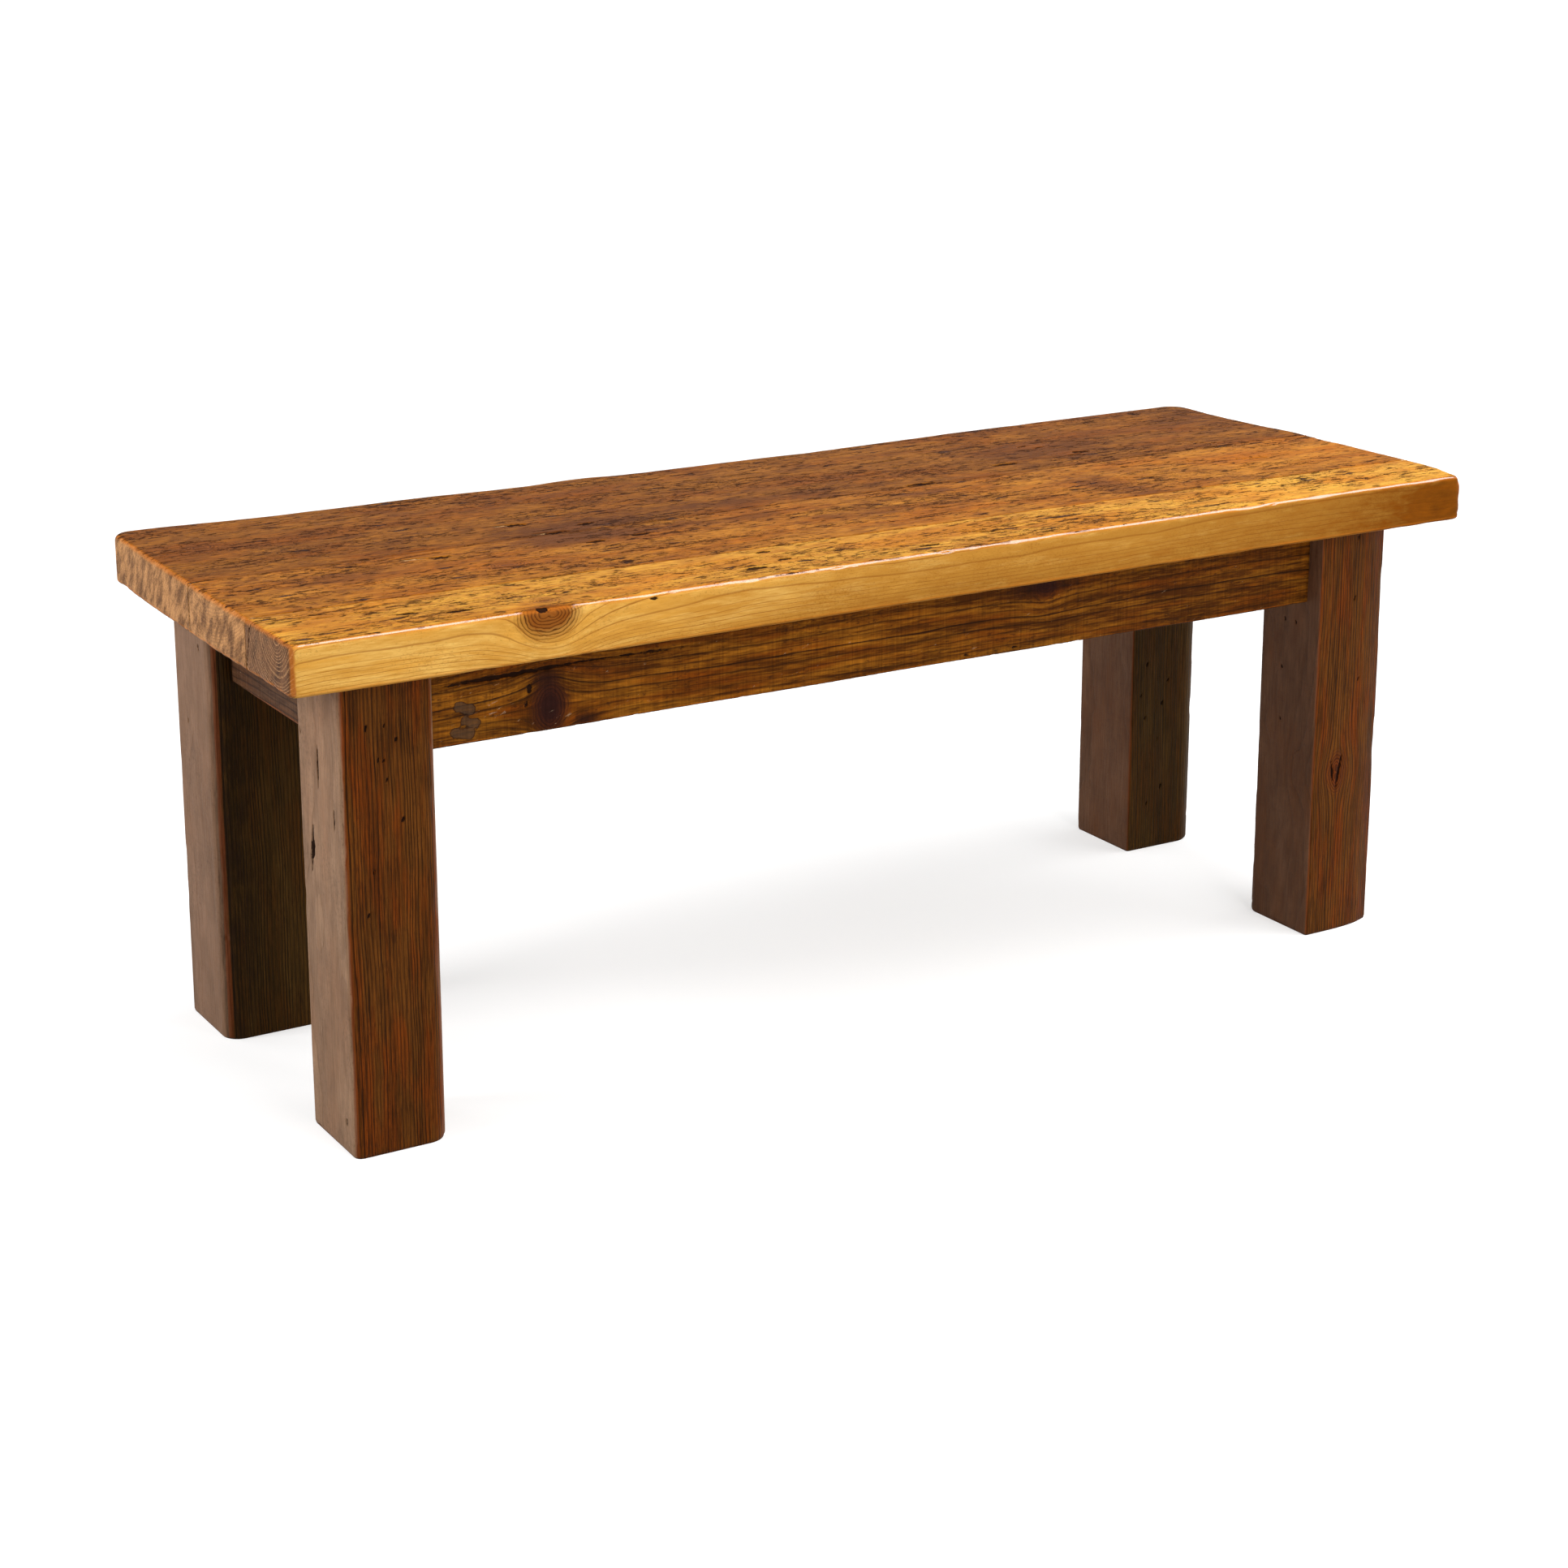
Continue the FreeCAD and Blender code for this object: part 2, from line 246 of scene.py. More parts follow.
@dataclass(frozen=True)
class Knot:
    """Branch cut across by a face: a cylinder round an axis, longer along the grain than across it."""

    axis: Axis
    centre: Triple
    long: float
    cross: float
    reach: float = 14.0
    span: float = 60.0
    bend: float = 0.8

    def distance(self, points: Array, grain: Axis) -> Array:
        """Distance of each point from the knot's outline, negative inside it."""
        other = next(axis for axis in Axis if axis not in (self.axis, grain))
        offset = points - np.array(self.centre)
        along, across, deep = (offset[:, axis.value] for axis in (grain, other, self.axis))
        norm = np.maximum(np.hypot(along / self.long, across / self.cross), 1e-3)
        distance = np.hypot(along, across) * (1 - 1 / norm)
        distance = np.maximum(distance, -min(self.long, self.cross))
        return distance + 2 * np.maximum(np.abs(deep) - self.span, 0)

    def warp(self, points: Array, grain: Axis) -> Array:
        """How far the growth rings are bent round the knot, as a shift of each point."""
        other = next(axis for axis in Axis if axis not in (self.axis, grain))
        outside = np.maximum(self.distance(points, grain), 0)
        shift = np.zeros_like(points)
        offset = points[:, other.value] - self.centre[other.value]
        shift[:, other.value] = -self.bend * offset * np.exp(-outside / self.reach)
        return shift


@dataclass(frozen=True)
class Slot:
    """Split, gouge or nail hole in one face: a tapered groove between two points of that face."""

    side: Side
    start: Pair
    end: Pair
    width: float
    depth: float
    taper: float = 0.55

    def inside(self, points: Array, ragged: Array) -> Array:
        """How far inside the groove's outline each point lies, negative outside it."""
        first, second = self.side.plane(points)
        start, end = np.array(self.start), np.array(self.end)
        run = end - start
        length = max(float(np.hypot(*run)), 1e-6)
        along = ((first - start[0]) * run[0] + (second - start[1]) * run[1]) / length**2
        near = np.clip(along, 0, 1)
        away = np.hypot(first - start[0] - near * run[0], second - start[1] - near * run[1])
        ends = np.abs(2 * near - 1) ** 2 if length > 2 * self.width else np.zeros_like(near)
        return self.width / 2 * (1 - self.taper * ends) * (1 + 0.5 * ragged) - away


@dataclass(frozen=True)
class StainAndShade:
    """Soft dark or pale cloud on one face, dark where its strength is positive; used for stains and for
    painted shade.
    """

    side: Side
    centre: Pair
    radii: Pair
    strength: float
    slope: float = 0.0

    def amount(self, points: Array) -> Array:
        """The cloud's strength at each point."""
        first, second = self.side.plane(points)
        along = first - self.centre[0]
        across = second - self.centre[1] - self.slope * along
        return self.strength * np.exp(-((along / self.radii[0]) ** 2) - (across / self.radii[1]) ** 2)


@dataclass
class Marks:
    """Everything by which one timber differs from a plain one."""

    knots: Sequence[Knot] = ()
    slots: Sequence[Slot] = ()
    chips: Sequence[Slot] = ()
    stains_and_shade: Sequence[StainAndShade] = ()
    far_knot: float = 60.0
    far_slot: float = -8.0

    def apply(self, skin: Skin, grain: Axis, noise: Grainfield) -> None:
        """Carves the slots into a skin and writes the layers that the finish reads.

        Args:
            skin: the timber's skin, already in shape.
            grain: the axis that the grain follows.
            noise: noise for ragged edges.
        """
        points, normals = skin.points.copy(), skin.normals()
        ragged = noise.at(points, 5.0, 2)
        knot = np.full(len(points), self.far_knot)
        warp = np.zeros_like(points)
        for mark in self.knots:
            knot = np.minimum(knot, mark.distance(points, grain))
            warp += mark.warp(points, grain)
        slot, slot_depth = self._cut(self.slots, points, normals, ragged)
        chip, chip_depth = self._cut(self.chips, points, normals, ragged)
        # Stains and painted shade add up into one layer.
        stain = np.zeros(len(points))
        for mark in self.stains_and_shade:
            stain += mark.amount(points) * mark.side.facing(normals)
        skin.push(-np.maximum(slot_depth, chip_depth))
        skin.layers.update(warp=warp, knot=knot, slot=slot, chip=chip, stain=stain)

    def _cut(
        self, marks: Sequence[Slot], points: Array, normals: Array, ragged: Array
    ) -> tuple[Array, Array]:
        """How far inside the outlines of some grooves each point lies, and how deep they are there."""
        inside = np.full(len(points), self.far_slot)
        depth = np.zeros(len(points))
        for mark in marks:
            here = np.where(mark.side.facing(normals) > 0.3, mark.inside(points, ragged), self.far_slot)
            inside = np.maximum(inside, here)
            depth = np.maximum(depth, mark.depth * smooth(here, -0.4, max(1.0, mark.width * 0.35)))
        return inside, depth


def cuts(side: Side, *rows: Sequence[float]) -> list[Slot]:
    """Grooves in a face, each given as its start, its end, its width and its depth."""
    return [Slot(side, row[:2], row[2:4], *row[4:]) for row in rows]


def holes(side: Side, *rows: Triple) -> list[Slot]:
    """Nail holes in a face, each given as its place and its width, and a little longer than wide."""
    ends = [(x - 0.5, z - wide / 2, x + 0.5, z + wide / 2, wide * 0.72, 2.0) for x, z, wide in rows]
    return cuts(side, *ends)


def clouds(side: Side, *rows: Sequence[float]) -> list[StainAndShade]:
    """Stains and painted shade on a face, each given as its centre, its radii, its strength and, where it
    leans, its slope.
    """
    return [StainAndShade(side, row[:2], row[2:4], *row[4:]) for row in rows]


# Shader work

def operator(operation: str, reflected: bool = False) -> Callable[["Value", "Term"], "Value"]:
    """Operator of two terms.

    Args:
        operation: the maths node's operation.
        reflected: whether the socket stands on the right.

    Returns:
        The method.
    """
    def method(self: "Value", other: "Term") -> "Value":
        """The operation on the socket and another term."""
        return self.graph.maths(operation, *((other, self) if reflected else (self, other)))

    return method


class Value:
    """Socket of a material that takes part in Python expressions."""

    def __init__(self, graph: "Graph", socket: bpy.types.NodeSocket) -> None:
        """Wraps a socket of the graph."""
        self.graph = graph
        self.socket = socket

    @property
    def wide(self) -> bool:
        """Whether the socket carries a colour or a vector."""
        return self.socket.type in ("RGBA", "VECTOR")

    __add__ = operator("ADD")
    __radd__ = operator("ADD", reflected=True)
    __sub__ = operator("SUBTRACT")
    __rsub__ = operator("SUBTRACT", reflected=True)
    __mul__ = operator("MULTIPLY")
    __rmul__ = operator("MULTIPLY", reflected=True)
    __truediv__ = operator("DIVIDE")
    __pow__ = operator("POWER")

    def __abs__(self) -> "Value":
        """Absolute value."""
        return self.graph.maths("ABSOLUTE", self)


Term = Union[Value, float, Triple]


class Graph:
    """Nodes of one material or of the surroundings, written as expressions."""

    def __init__(self, owner: Union[bpy.types.Material, bpy.types.World]) -> None:
        """Empties the owner's node tree."""
        owner.use_nodes = True
        self.tree = owner.node_tree
        self.tree.nodes.clear()

    @classmethod
    def on(cls, piece: bpy.types.Object) -> "Graph":
        """Gives a piece a material of its own, and starts that material's nodes."""
        material = bpy.data.materials.new(f"{piece.name}_finish")
        piece.data.materials.clear()
        piece.data.materials.append(material)
        return cls(material)

    @staticmethod
    def _socket(sockets: bpy.types.NodeInputs, name: str) -> bpy.types.NodeSocket:
        """The socket with that identifier, or else with that name."""
        found = [socket for socket in sockets if socket.identifier == name]
        return found[0] if found else sockets[name]

    def node(self, kind: str, settings: dict, inputs: dict, output: str = "") -> Value:
        """Adds one node.

        Args:
            kind: the node's type.
            settings: its properties, set first.
            inputs: a value or a link for each named socket.
            output: the name of the output wanted, or the first one.

        Returns:
            The output.
        """
        made = self.tree.nodes.new(kind)
        for name, value in settings.items():
            setattr(made, name, value)
        for name, value in inputs.items():
            self._feed(self._socket(made.inputs, name), value)
        if output:
            return Value(self, self._socket(made.outputs, output))
        return Value(self, next(iter(made.outputs), None))

    def _feed(self, socket: bpy.types.NodeSocket, value: Term) -> None:
        """Links a socket or sets its value."""
        if isinstance(value, Value):
            self.tree.links.new(value.socket, socket)
        elif isinstance(value, tuple) and socket.type == "RGBA" and len(value) == 3:
            socket.default_value = (*value, 1.0)
        elif isinstance(value, (int, float)) and socket.type in ("VECTOR", "RGBA"):
            socket.default_value = (value,) * len(socket.default_value)
        else:
            socket.default_value = value

    def maths(self, operation: str, *terms: Term) -> Value:
        """Math node, or Vector Math node where a term is a colour or a vector."""
        wide = any(isinstance(term, tuple) or (isinstance(term, Value) and term.wide) for term in terms)
        made = self.tree.nodes.new("ShaderNodeVectorMath" if wide else "ShaderNodeMath")
        made.operation = operation
        for socket, term in zip(made.inputs, terms):
            self._feed(socket, term)
        return Value(self, made.outputs[0])

    def mix(self, amount: Term, first: Term, second: Term) -> Value:
        """Colour mixed from first to second by an amount, 0 to 1."""
        inputs = {"Factor_Float": amount, "A_Color": first, "B_Color": second}
        return self.node("ShaderNodeMix", {"data_type": "RGBA"}, inputs, "Result_Color")

    def step(self, value: Value, low: float, high: float) -> Value:
        """Smooth step from 0 at low to 1 at high, which may be the lower of the two."""
        settings = {"interpolation_type": "SMOOTHSTEP"}
        inputs = {"Value": value, "From Min": min(low, high), "From Max": max(low, high)}
        rise = self.node("ShaderNodeMapRange", settings, inputs)
        return rise if high > low else 1.0 - rise

    def blend(self, value: Value, low: float, high: float) -> Value:
        """Value moved from the range low to high onto 0 to 1, and held inside it."""
        return self.node("ShaderNodeMapRange", {}, {"Value": value, "From Min": low, "From Max": high})

    def noise(self, place: Value, detail: float = 2.0, rough: float = 0.5, output: str = "Fac") -> Value:
        """Noise of cell size 1 at a place."""
        inputs = {"Vector": place, "Scale": 1.0, "Detail": detail, "Roughness": rough}
        return self.node("ShaderNodeTexNoise", {"noise_dimensions": "3D"}, inputs, output)

    def highest(self, first: Term, second: Term) -> Value:
        """The higher of two values."""
        return self.maths("MAXIMUM", first, second)

    def place(self) -> Value:
        """The place in the frame, in millimetres."""
        return self.node("ShaderNodeTexCoord", {}, {}, "Object") * (PER_METRE, PER_METRE, PER_METRE)

    def parts(self, vector: Value) -> tuple[Value, Value, Value]:
        """The three numbers of a vector."""
        made = self.node("ShaderNodeSeparateXYZ", {}, {"Vector": vector}).socket.node
        return tuple(Value(self, output) for output in made.outputs)

    def vector(self, first: Term, second: Term, third: Term) -> Value:
        """Vector of three numbers."""
        return self.node("ShaderNodeCombineXYZ", {}, {"X": first, "Y": second, "Z": third})

    def layer(self, name: str, output: str = "Fac") -> Value:
        """A layer that a skin wrote on its mesh."""
        return self.node("ShaderNodeAttribute", {"attribute_name": name}, {}, output)

    def surface(self, shader: Value) -> None:
        """Gives the material its shader."""
        self.node("ShaderNodeOutputMaterial", {}, {"Surface": shader})


@dataclass(frozen=True)
class Cloud:
    """Noise: its cells' size along and across the grain, its shift, and how fine and rough it is."""

    along: float
    across: float
    shift: Triple = (0.0, 0.0, 0.0)
    detail: float = 2.0
    rough: float = 0.5

    def over(self, graph: Graph, place: Value, output: str = "Fac") -> Value:
        """The noise, 0 to 1, at a place given along and across the grain."""
        place = place * (1 / self.along, 1 / self.across, 1 / self.across)
        if any(self.shift):
            place = place + self.shift
        return graph.noise(place, self.detail, self.rough, output)

    def swing(self, graph: Graph, place: Value) -> Value:
        """The noise at a place, centred on 0."""
        return self.over(graph, place) - 0.5

    def push(self, graph: Graph, place: Value) -> Value:
        """The noise at a place as a vector, centred on 0."""
        return self.over(graph, place, "Color") - (0.5, 0.5, 0.5)


@dataclass(frozen=True)
class Tone:
    """Colours of a timber on the faces that look one way.

    warm shows in broad soft patches, and speck in small ones. late is how far through a ring its line starts.
    Each size is that of a cell of noise, along and across the grain.
    """

    pale: Colour
    deep: Colour
    warm: Colour
    line: Colour
    speck: Colour = tint(84, 46, 20)
    lines: float = 0.6
    streaks: float = 0.7
    fibres: float = 0.35
    specks: float = 0.0
    late: float = 0.62
    streak_size: Pair = (110.0, 10.0)
    fibre_size: Pair = (30.0, 1.1)
    speck_size: Pair = (8.0, 2.2)
    warm_size: Pair = (120.0, 40.0)
    crowding: Cloud = Cloud(70.0, 30.0, (1.5, 6.2, 3.9))
    pores: Cloud = Cloud(60.0, 1.3, detail=3.0, rough=0.7)
    band_size: Pair = (13.0, 34.0)
    band_slant: float = 0.7

    def along_grain(
        self, graph: Graph, place: Value, ring: Value, strength: Value, stain: Value
    ) -> tuple[Value, Value]:
        """Colour of a face along the grain.

        Args:
            graph: the material's nodes.
            place: the place in the timber, along and across the grain.
            ring: how far through its growth ring the place is.
            strength: that ring's own strength.
            stain: how far stains and painted shade darken the place.

        Returns:
            The colour, and the mask of the rings' dark lines.
        """
        streak = Cloud(*self.streak_size, detail=5.0, rough=0.65).swing(graph, place)
        fibre = Cloud(*self.fibre_size, detail=3.0, rough=0.6).swing(graph, place)
        warmth = Cloud(*self.warm_size, (3.1, 7.7, 1.3), 3.0, 0.6).over(graph, place)
        depth = 0.5 + streak * (2.4 * self.streaks) + fibre * (2.2 * self.fibres)
        base = graph.mix(graph.step(warmth, 0.4, 0.66), self.pale, self.warm)
        base = graph.mix(graph.blend(depth - stain * 0.9, 0.0, 1.0), self.deep, base)
        late = graph.step(ring, self.late, 0.93) * graph.step(ring, 1.0, 0.96) * strength
        colour = graph.mix(late * self.lines, base, self.line)
        if self.specks > 0:
            specks = Cloud(*self.speck_size, (5.5, 2.2, 9.9), 4.0, 0.65).over(graph, place)
            level = specks + self.crowding.swing(graph, place) * 0.35 + stain * 0.05
            colour = graph.mix(graph.step(level, 0.56, 0.68) * self.specks, colour, self.speck)
        return colour, late

    def end_grain(self, graph: Graph, place: Value, ring: Value, strength: Value) -> Value:
        """Colour of end grain: pale rings as arcs, with dark pores between them.

        Args:
            graph: the material's nodes.
            place: the place in the timber, along and across the grain.
            ring: how far through its growth ring the place is.
            strength: that ring's own strength.

        Returns:
            The colour.
        """
        pores = self.pores.over(graph, place)
        _, across, rise = graph.parts(place)
        slant, (narrow, wide) = self.band_slant, self.band_size
        lie = graph.vector((across + rise * slant) / narrow, (rise - across * slant) / wide, 0.0)
        bands = graph.noise(lie, 5.0, 0.68) - 0.5
        depth = 0.5 + bands * (3.4 * self.streaks) + (pores - 0.5) * (3.0 * self.fibres)
        base = graph.mix(graph.blend(depth, 0.0, 1.0), self.deep, self.pale)
        base = graph.mix(graph.step(ring, 0.1, 0.9) * 0.35, base, self.line)
        arc = graph.step(ring, 0.55, 0.85) * graph.step(ring, 1.0, 0.93) * strength
        arc = arc * graph.step(pores, 0.6, 0.45)
        base = graph.mix(arc * self.lines, base, self.warm)
        return graph.mix(graph.step(pores, 0.54, 0.66) * 0.6, base, self.speck)


@dataclass(frozen=True)
class Splits:
    """One size of the short ragged splits in a worn top: the higher its level, the fewer there are."""

    length: float
    width: float
    level: float
    salt: float
    jog_size: float = 9.0
    jog_reach: float = 5.0

    def over_level(self, graph: Graph, place: Value, crowd: Value) -> Value:
        """How far each place is above the splits' level, negative outside them.

        Args:
            graph: the material's nodes.
            place: the place in the timber.
            crowd: how thick they lie, 0 to 1.

        Returns:
            The height above the level.
        """
        along, across, rise = graph.parts(place)
        jog_place = graph.vector(along / self.jog_size, across / self.jog_size, self.salt)
        jog = graph.noise(jog_place, 3.0, 0.6) - 0.5
        aside = (across + rise * 0.6 + jog * self.jog_reach) / self.width
        lie = graph.vector(along / self.length, aside, self.salt)
        return graph.noise(lie, 4.0, 0.56) + crowd * 0.07 - self.level


@dataclass(frozen=True)
class Cracks:
    """Worn top: splits along the grain, long hair cracks and the fine crazing between them."""

    wide: Splits = Splits(30.0, 7.0, 0.682, 0.7)
    small: Splits = Splits(13.0, 3.8, 0.632, 5.3)
    crowding: Cloud = Cloud(120.0, 30.0, (9.1, 2.3, 4.4), rough=0.6)
    crazing: float = 0.75
    crazing_size: Pair = (15.0, 10.0)
    crazing_bend: Cloud = Cloud(6.0, 3.5, rough=0.6)
    hair: float = 0.85
    hair_size: Pair = (420.0, 26.0)
    hairs: float = 7.0
    inside: Colour = tint(62, 50, 50)
    colour: Colour = tint(32, 17, 11)

    def _crazed(self, graph: Graph, place: Value, spread: Value) -> Value:
        """Mask of fine jagged cracks that join the splits where they are thick."""
        along, across, rise = graph.parts(place)
        bend_along, bend_across, _ = graph.parts(self.crazing_bend.push(graph, place))
        long, wide = self.crazing_size
        aside = (across + rise) / wide + bend_across * 1.1
        flat = graph.vector(along / long + bend_along * 0.9, aside, 0.0)
        settings = {"voronoi_dimensions": "2D", "feature": "DISTANCE_TO_EDGE"}
        edge = graph.node("ShaderNodeTexVoronoi", settings, {"Vector": flat, "Scale": 1.0}, "Distance")
        return graph.step(edge, 0.06, 0.015) * spread

    def _haired(self, graph: Graph, place: Value) -> Value:
        """Mask of long thin cracks that follow the grain and break off here and there."""
        along, across, rise = graph.parts(place)
        long, wide = self.hair_size
        jag = graph.noise(graph.vector(along / 5, across / 3, rise / 9), 2.0, 0.6)
        level = graph.noise(graph.vector(along / long, across / wide + 3.3, rise / wide), 1.0, 0.5)
        level = level + (jag - 0.5) * 0.035
        line = graph.step(abs(graph.maths("FRACT", level * self.hairs) - 0.5), 0.06, 0.02)
        present = graph.noise(graph.vector(along / 60, across / 9, 8.8), 3.0, 0.6)
        return line * graph.step(present, 0.5, 0.58)

    def draw(
        self, graph: Graph, colour: Value, place: Value, mask: Value, stain: Colour
    ) -> tuple[Value, Value]:
        """Adds the splits and cracks.

        Args:
            graph: the material's nodes.
            colour: the sound timber's colour.
            place: the place in the timber, with no bend round the knots.
            mask: where the top is.
            stain: the colour of the timber round the splits, which stains and painted shade also take.

        Returns:
            The new colour, and how deep the splits are, 0 to 1.
        """
        spread = self.crowding.over(graph, place)
        crowd = graph.step(spread, 0.32, 0.68)
        wide = self.wide.over_level(graph, place, crowd)
        small = self.small.over_level(graph, place, crowd)
        wide_mask = graph.step(wide, -0.004, 0.012)
        small_mask = graph.step(small, -0.004, 0.02)
        fine = self._crazed(graph, place, graph.step(spread, 0.42, 0.66) * self.crazing)
        hair = self._haired(graph, place) * self.hair
        halo = graph.highest(graph.step(wide, -0.1, 0.02), graph.step(small, -0.07, 0.02) * 0.7)
        colour = graph.mix(halo * 0.3 * mask, colour, stain)
        thin = graph.highest(graph.highest(fine, hair), small_mask * 0.8)
        colour = graph.mix(thin * 0.9 * mask, colour, self.colour)
        inside = graph.mix(graph.step(wide, 0.03, 0.08), self.colour, self.inside)
        colour = graph.mix(wide_mask * 0.9 * mask, colour, inside)
        return colour, graph.highest(wide_mask, thin * 0.7) * mask


@dataclass(frozen=True)
class Rings:
    """Growth rings round the tree's heart line, which wander along the grain.

    heart is where the heart runs in the two axes across the grain, and spacing the width of a ring.
    """

    heart: Pair
    spacing: float
    wander: float
    wander_length: float
    wander_width: float = 110.0
    shake: Cloud = Cloud(70.0, 24.0)

    def through(self, graph: Graph, place: Value) -> tuple[Value, Value]:
        """How far through its ring each place is, 0 to 1, and that ring's own strength."""
        slow = Cloud(self.wander_length, self.wander_width).push(graph, place)
        quick = self.shake.push(graph, place)
        drift = slow * (0.0, 4.5 * self.wander, 4.5 * self.wander)
        shake = quick * (0.0, 0.9 * self.wander, 0.9 * self.wander)
        _, across, rise = graph.parts(place + drift + shake - (0.0, *self.heart))
        radius = (across * across + rise * rise) ** 0.5
        uneven = graph.noise(graph.vector(radius / (self.spacing * 5), 3.7, 0.0), 1.0)
        phase = radius / self.spacing + uneven * 3.0
        count = {"W": graph.maths("FLOOR", phase)}
        strength = graph.node("ShaderNodeTexWhiteNoise", {"noise_dimensions": "1D"}, count, "Value")
        return graph.maths("FRACT", phase), strength * 0.6 + 0.4


@dataclass(frozen=True)
class Arris:
    """Worn edges of a timber: their colour, how strong it is and how far in it reaches."""

    colour: Colour
    amount: float
    reach: float


@dataclass(frozen=True)
class Coat:
    """Old varnish: how much of it lies on the faces and on the rubbed top arrises, and its gloss."""

    faces: float = 0.0
    arrises: float = 0.2
    rough: float = 0.3
    index: float = 1.5


@dataclass(frozen=True)
class Timber:
    """Finish of old softwood: growth rings, fibres, knots, splits, stains and painted shade, a painted shadow
    along chips' edges, worn arrises and a worn coat.
    """

    grain: Axis
    rings: Rings
    flat: Tone
    side: Tone
    end: Tone
    arris: Arris
    coat: Coat
    stain: Colour
    knot: Colour
    knot_line: Colour
    hole: Colour = tint(30, 17, 12)
    chip: Colour = tint(206, 160, 108)
    scuff: Optional[Colour] = None
    cracks: Optional[Cracks] = None
    rough: float = 0.45
    specular: float = 0.03
    relief: float = 0.12
    saw: float = 0.0
    mottle: Cloud = Cloud(26.0, 9.0, (2.7, 8.1, 0.4), 4.0, 0.65)
    fray: Cloud = Cloud(4.0, 1.6)
    rub: Cloud = Cloud(60.0, 14.0)
    fuzz: Cloud = Cloud(25.0, 0.8)
    teeth: Cloud = Cloud(2.4, 60.0, detail=3.0, rough=0.65)
    knot_wobble: Cloud = Cloud(9.0, 9.0)
    knot_halo: float = 13.0
    knot_ring: float = 3.1
    heart_ring: float = 3.2

    def cut(self, heart: Pair, spacing: Optional[float] = None, **changes: object) -> "Timber":
        """This finish with another heart line, and with other fields where they differ."""
        rings = replace(self.rings, heart=heart, spacing=spacing or self.rings.spacing)
        return replace(self, rings=rings, **changes)

    def dress(self, piece: bpy.types.Object) -> None:
        """Gives a piece this finish."""
        graph = Graph.on(piece)
        place = graph.place()
        still = self._order(graph, place)
        bent = self._order(graph, place + graph.layer("warp", "Vector"))
        nx, ny, nz = graph.parts(graph.node("ShaderNodeTexCoord", {}, {}, "Normal"))
        endness = {Axis.X: abs(nx), Axis.Y: abs(ny), Axis.Z: abs(nz)}[self.grain]
        flatness = {Axis.X: nz, Axis.Y: nz, Axis.Z: abs(ny)}[self.grain]
        on_flat = graph.step(flatness, 0.55, 0.8)

        mottle = self.mottle.over(graph, still)
        # Stains and painted shade darken the colour by the layer that the marks wrote.
        stain = graph.layer("stain") * (1.0 + (mottle * 3.0 - 1.5) * (on_flat * 0.65 + 0.35))
        colour, late = self._sound(graph, bent, stain, on_flat, endness)
        colour, knot = self._knotted(graph, colour, still)
        colour = graph.mix(graph.blend(stain, 0.1, 1.2) * 0.95, colour, self.stain * (mottle * 1.4 + 0.3))
        colour = self._scuffed(graph, colour, still, stain)
        colour, split = self._broken(graph, colour, still, on_flat, knot)

        edge = graph.layer("edge") + self.rub.swing(graph, still) * 3.0
        near = graph.step(edge, self.arris.reach, self.arris.reach * 0.25) * (1.0 - split)
        # Arrises that face down take the dark line colour instead of the arris colour.
        worn = graph.mix(graph.step(nz, -0.15, -0.4), self.arris.colour, self.flat.line)
        colour = graph.mix(near * self.arris.amount, colour, worn)

        fuzz = self.fuzz.swing(graph, still)
        height = fuzz * (self.relief * 0.9) - late * self.relief - split * 0.9
        colour, height = self._sawn(graph, colour, height, still)
        rubbed = graph.step(nz, 0.54, 0.66) * graph.step(nz, 0.88, 0.78) * graph.step(abs(nx), 0.4, 0.15)
        rubbed = rubbed * graph.step(edge, 9.0, 7.0) * graph.step(knot, 0.0, 6.0) * (1.0 - split)
        inputs = {
            "Base Color": colour,
            "Roughness": graph.blend(self.rough + split * 0.3 + fuzz * 0.15, 0.0, 1.0),
            "Normal": graph.node("ShaderNodeBump", {}, {"Height": height, "Strength": 1.0, "Distance": MM}),
            "Specular IOR Level": self.specular,
            "Coat Weight": self.coat.faces + (self.coat.arrises - self.coat.faces) * rubbed,
            "Coat Roughness": self.coat.rough,
            "Coat IOR": self.coat.index,
        }
        graph.surface(graph.node("ShaderNodeBsdfPrincipled", {}, inputs))

    def _order(self, graph: Graph, place: Value) -> Value:
        """A place as (along the grain, first across, second across)."""
        x, y, z = graph.parts(place)
        turned = {Axis.X: (x, y, z), Axis.Y: (y, x, z), Axis.Z: (z, x, y)}
        return graph.vector(*turned[self.grain])

    def _sound(
        self, graph: Graph, bent: Value, stain: Value, on_flat: Value, endness: Value
    ) -> tuple[Value, Value]:
        """Colour of the sound timber.

        Args:
            graph: the material's nodes.
            bent: the place along and across the grain, bent round the knots.
            stain: how far stains and painted shade darken the place.
            on_flat: 1 on the faces that the flat tone covers.
            endness: how squarely the face lies across the grain.

        Returns:
            The colour, and the mask of the rings' dark lines.
        """
        ring, strength = self.rings.through(graph, bent)
        flat, late = self.flat.along_grain(graph, bent, ring, strength, stain)
        side, _ = self.side.along_grain(graph, bent, ring, strength, stain)
        end = self.end.end_grain(graph, bent, ring, strength)
        return graph.mix(graph.step(endness, 0.4, 0.65), graph.mix(on_flat, side, flat), end), late

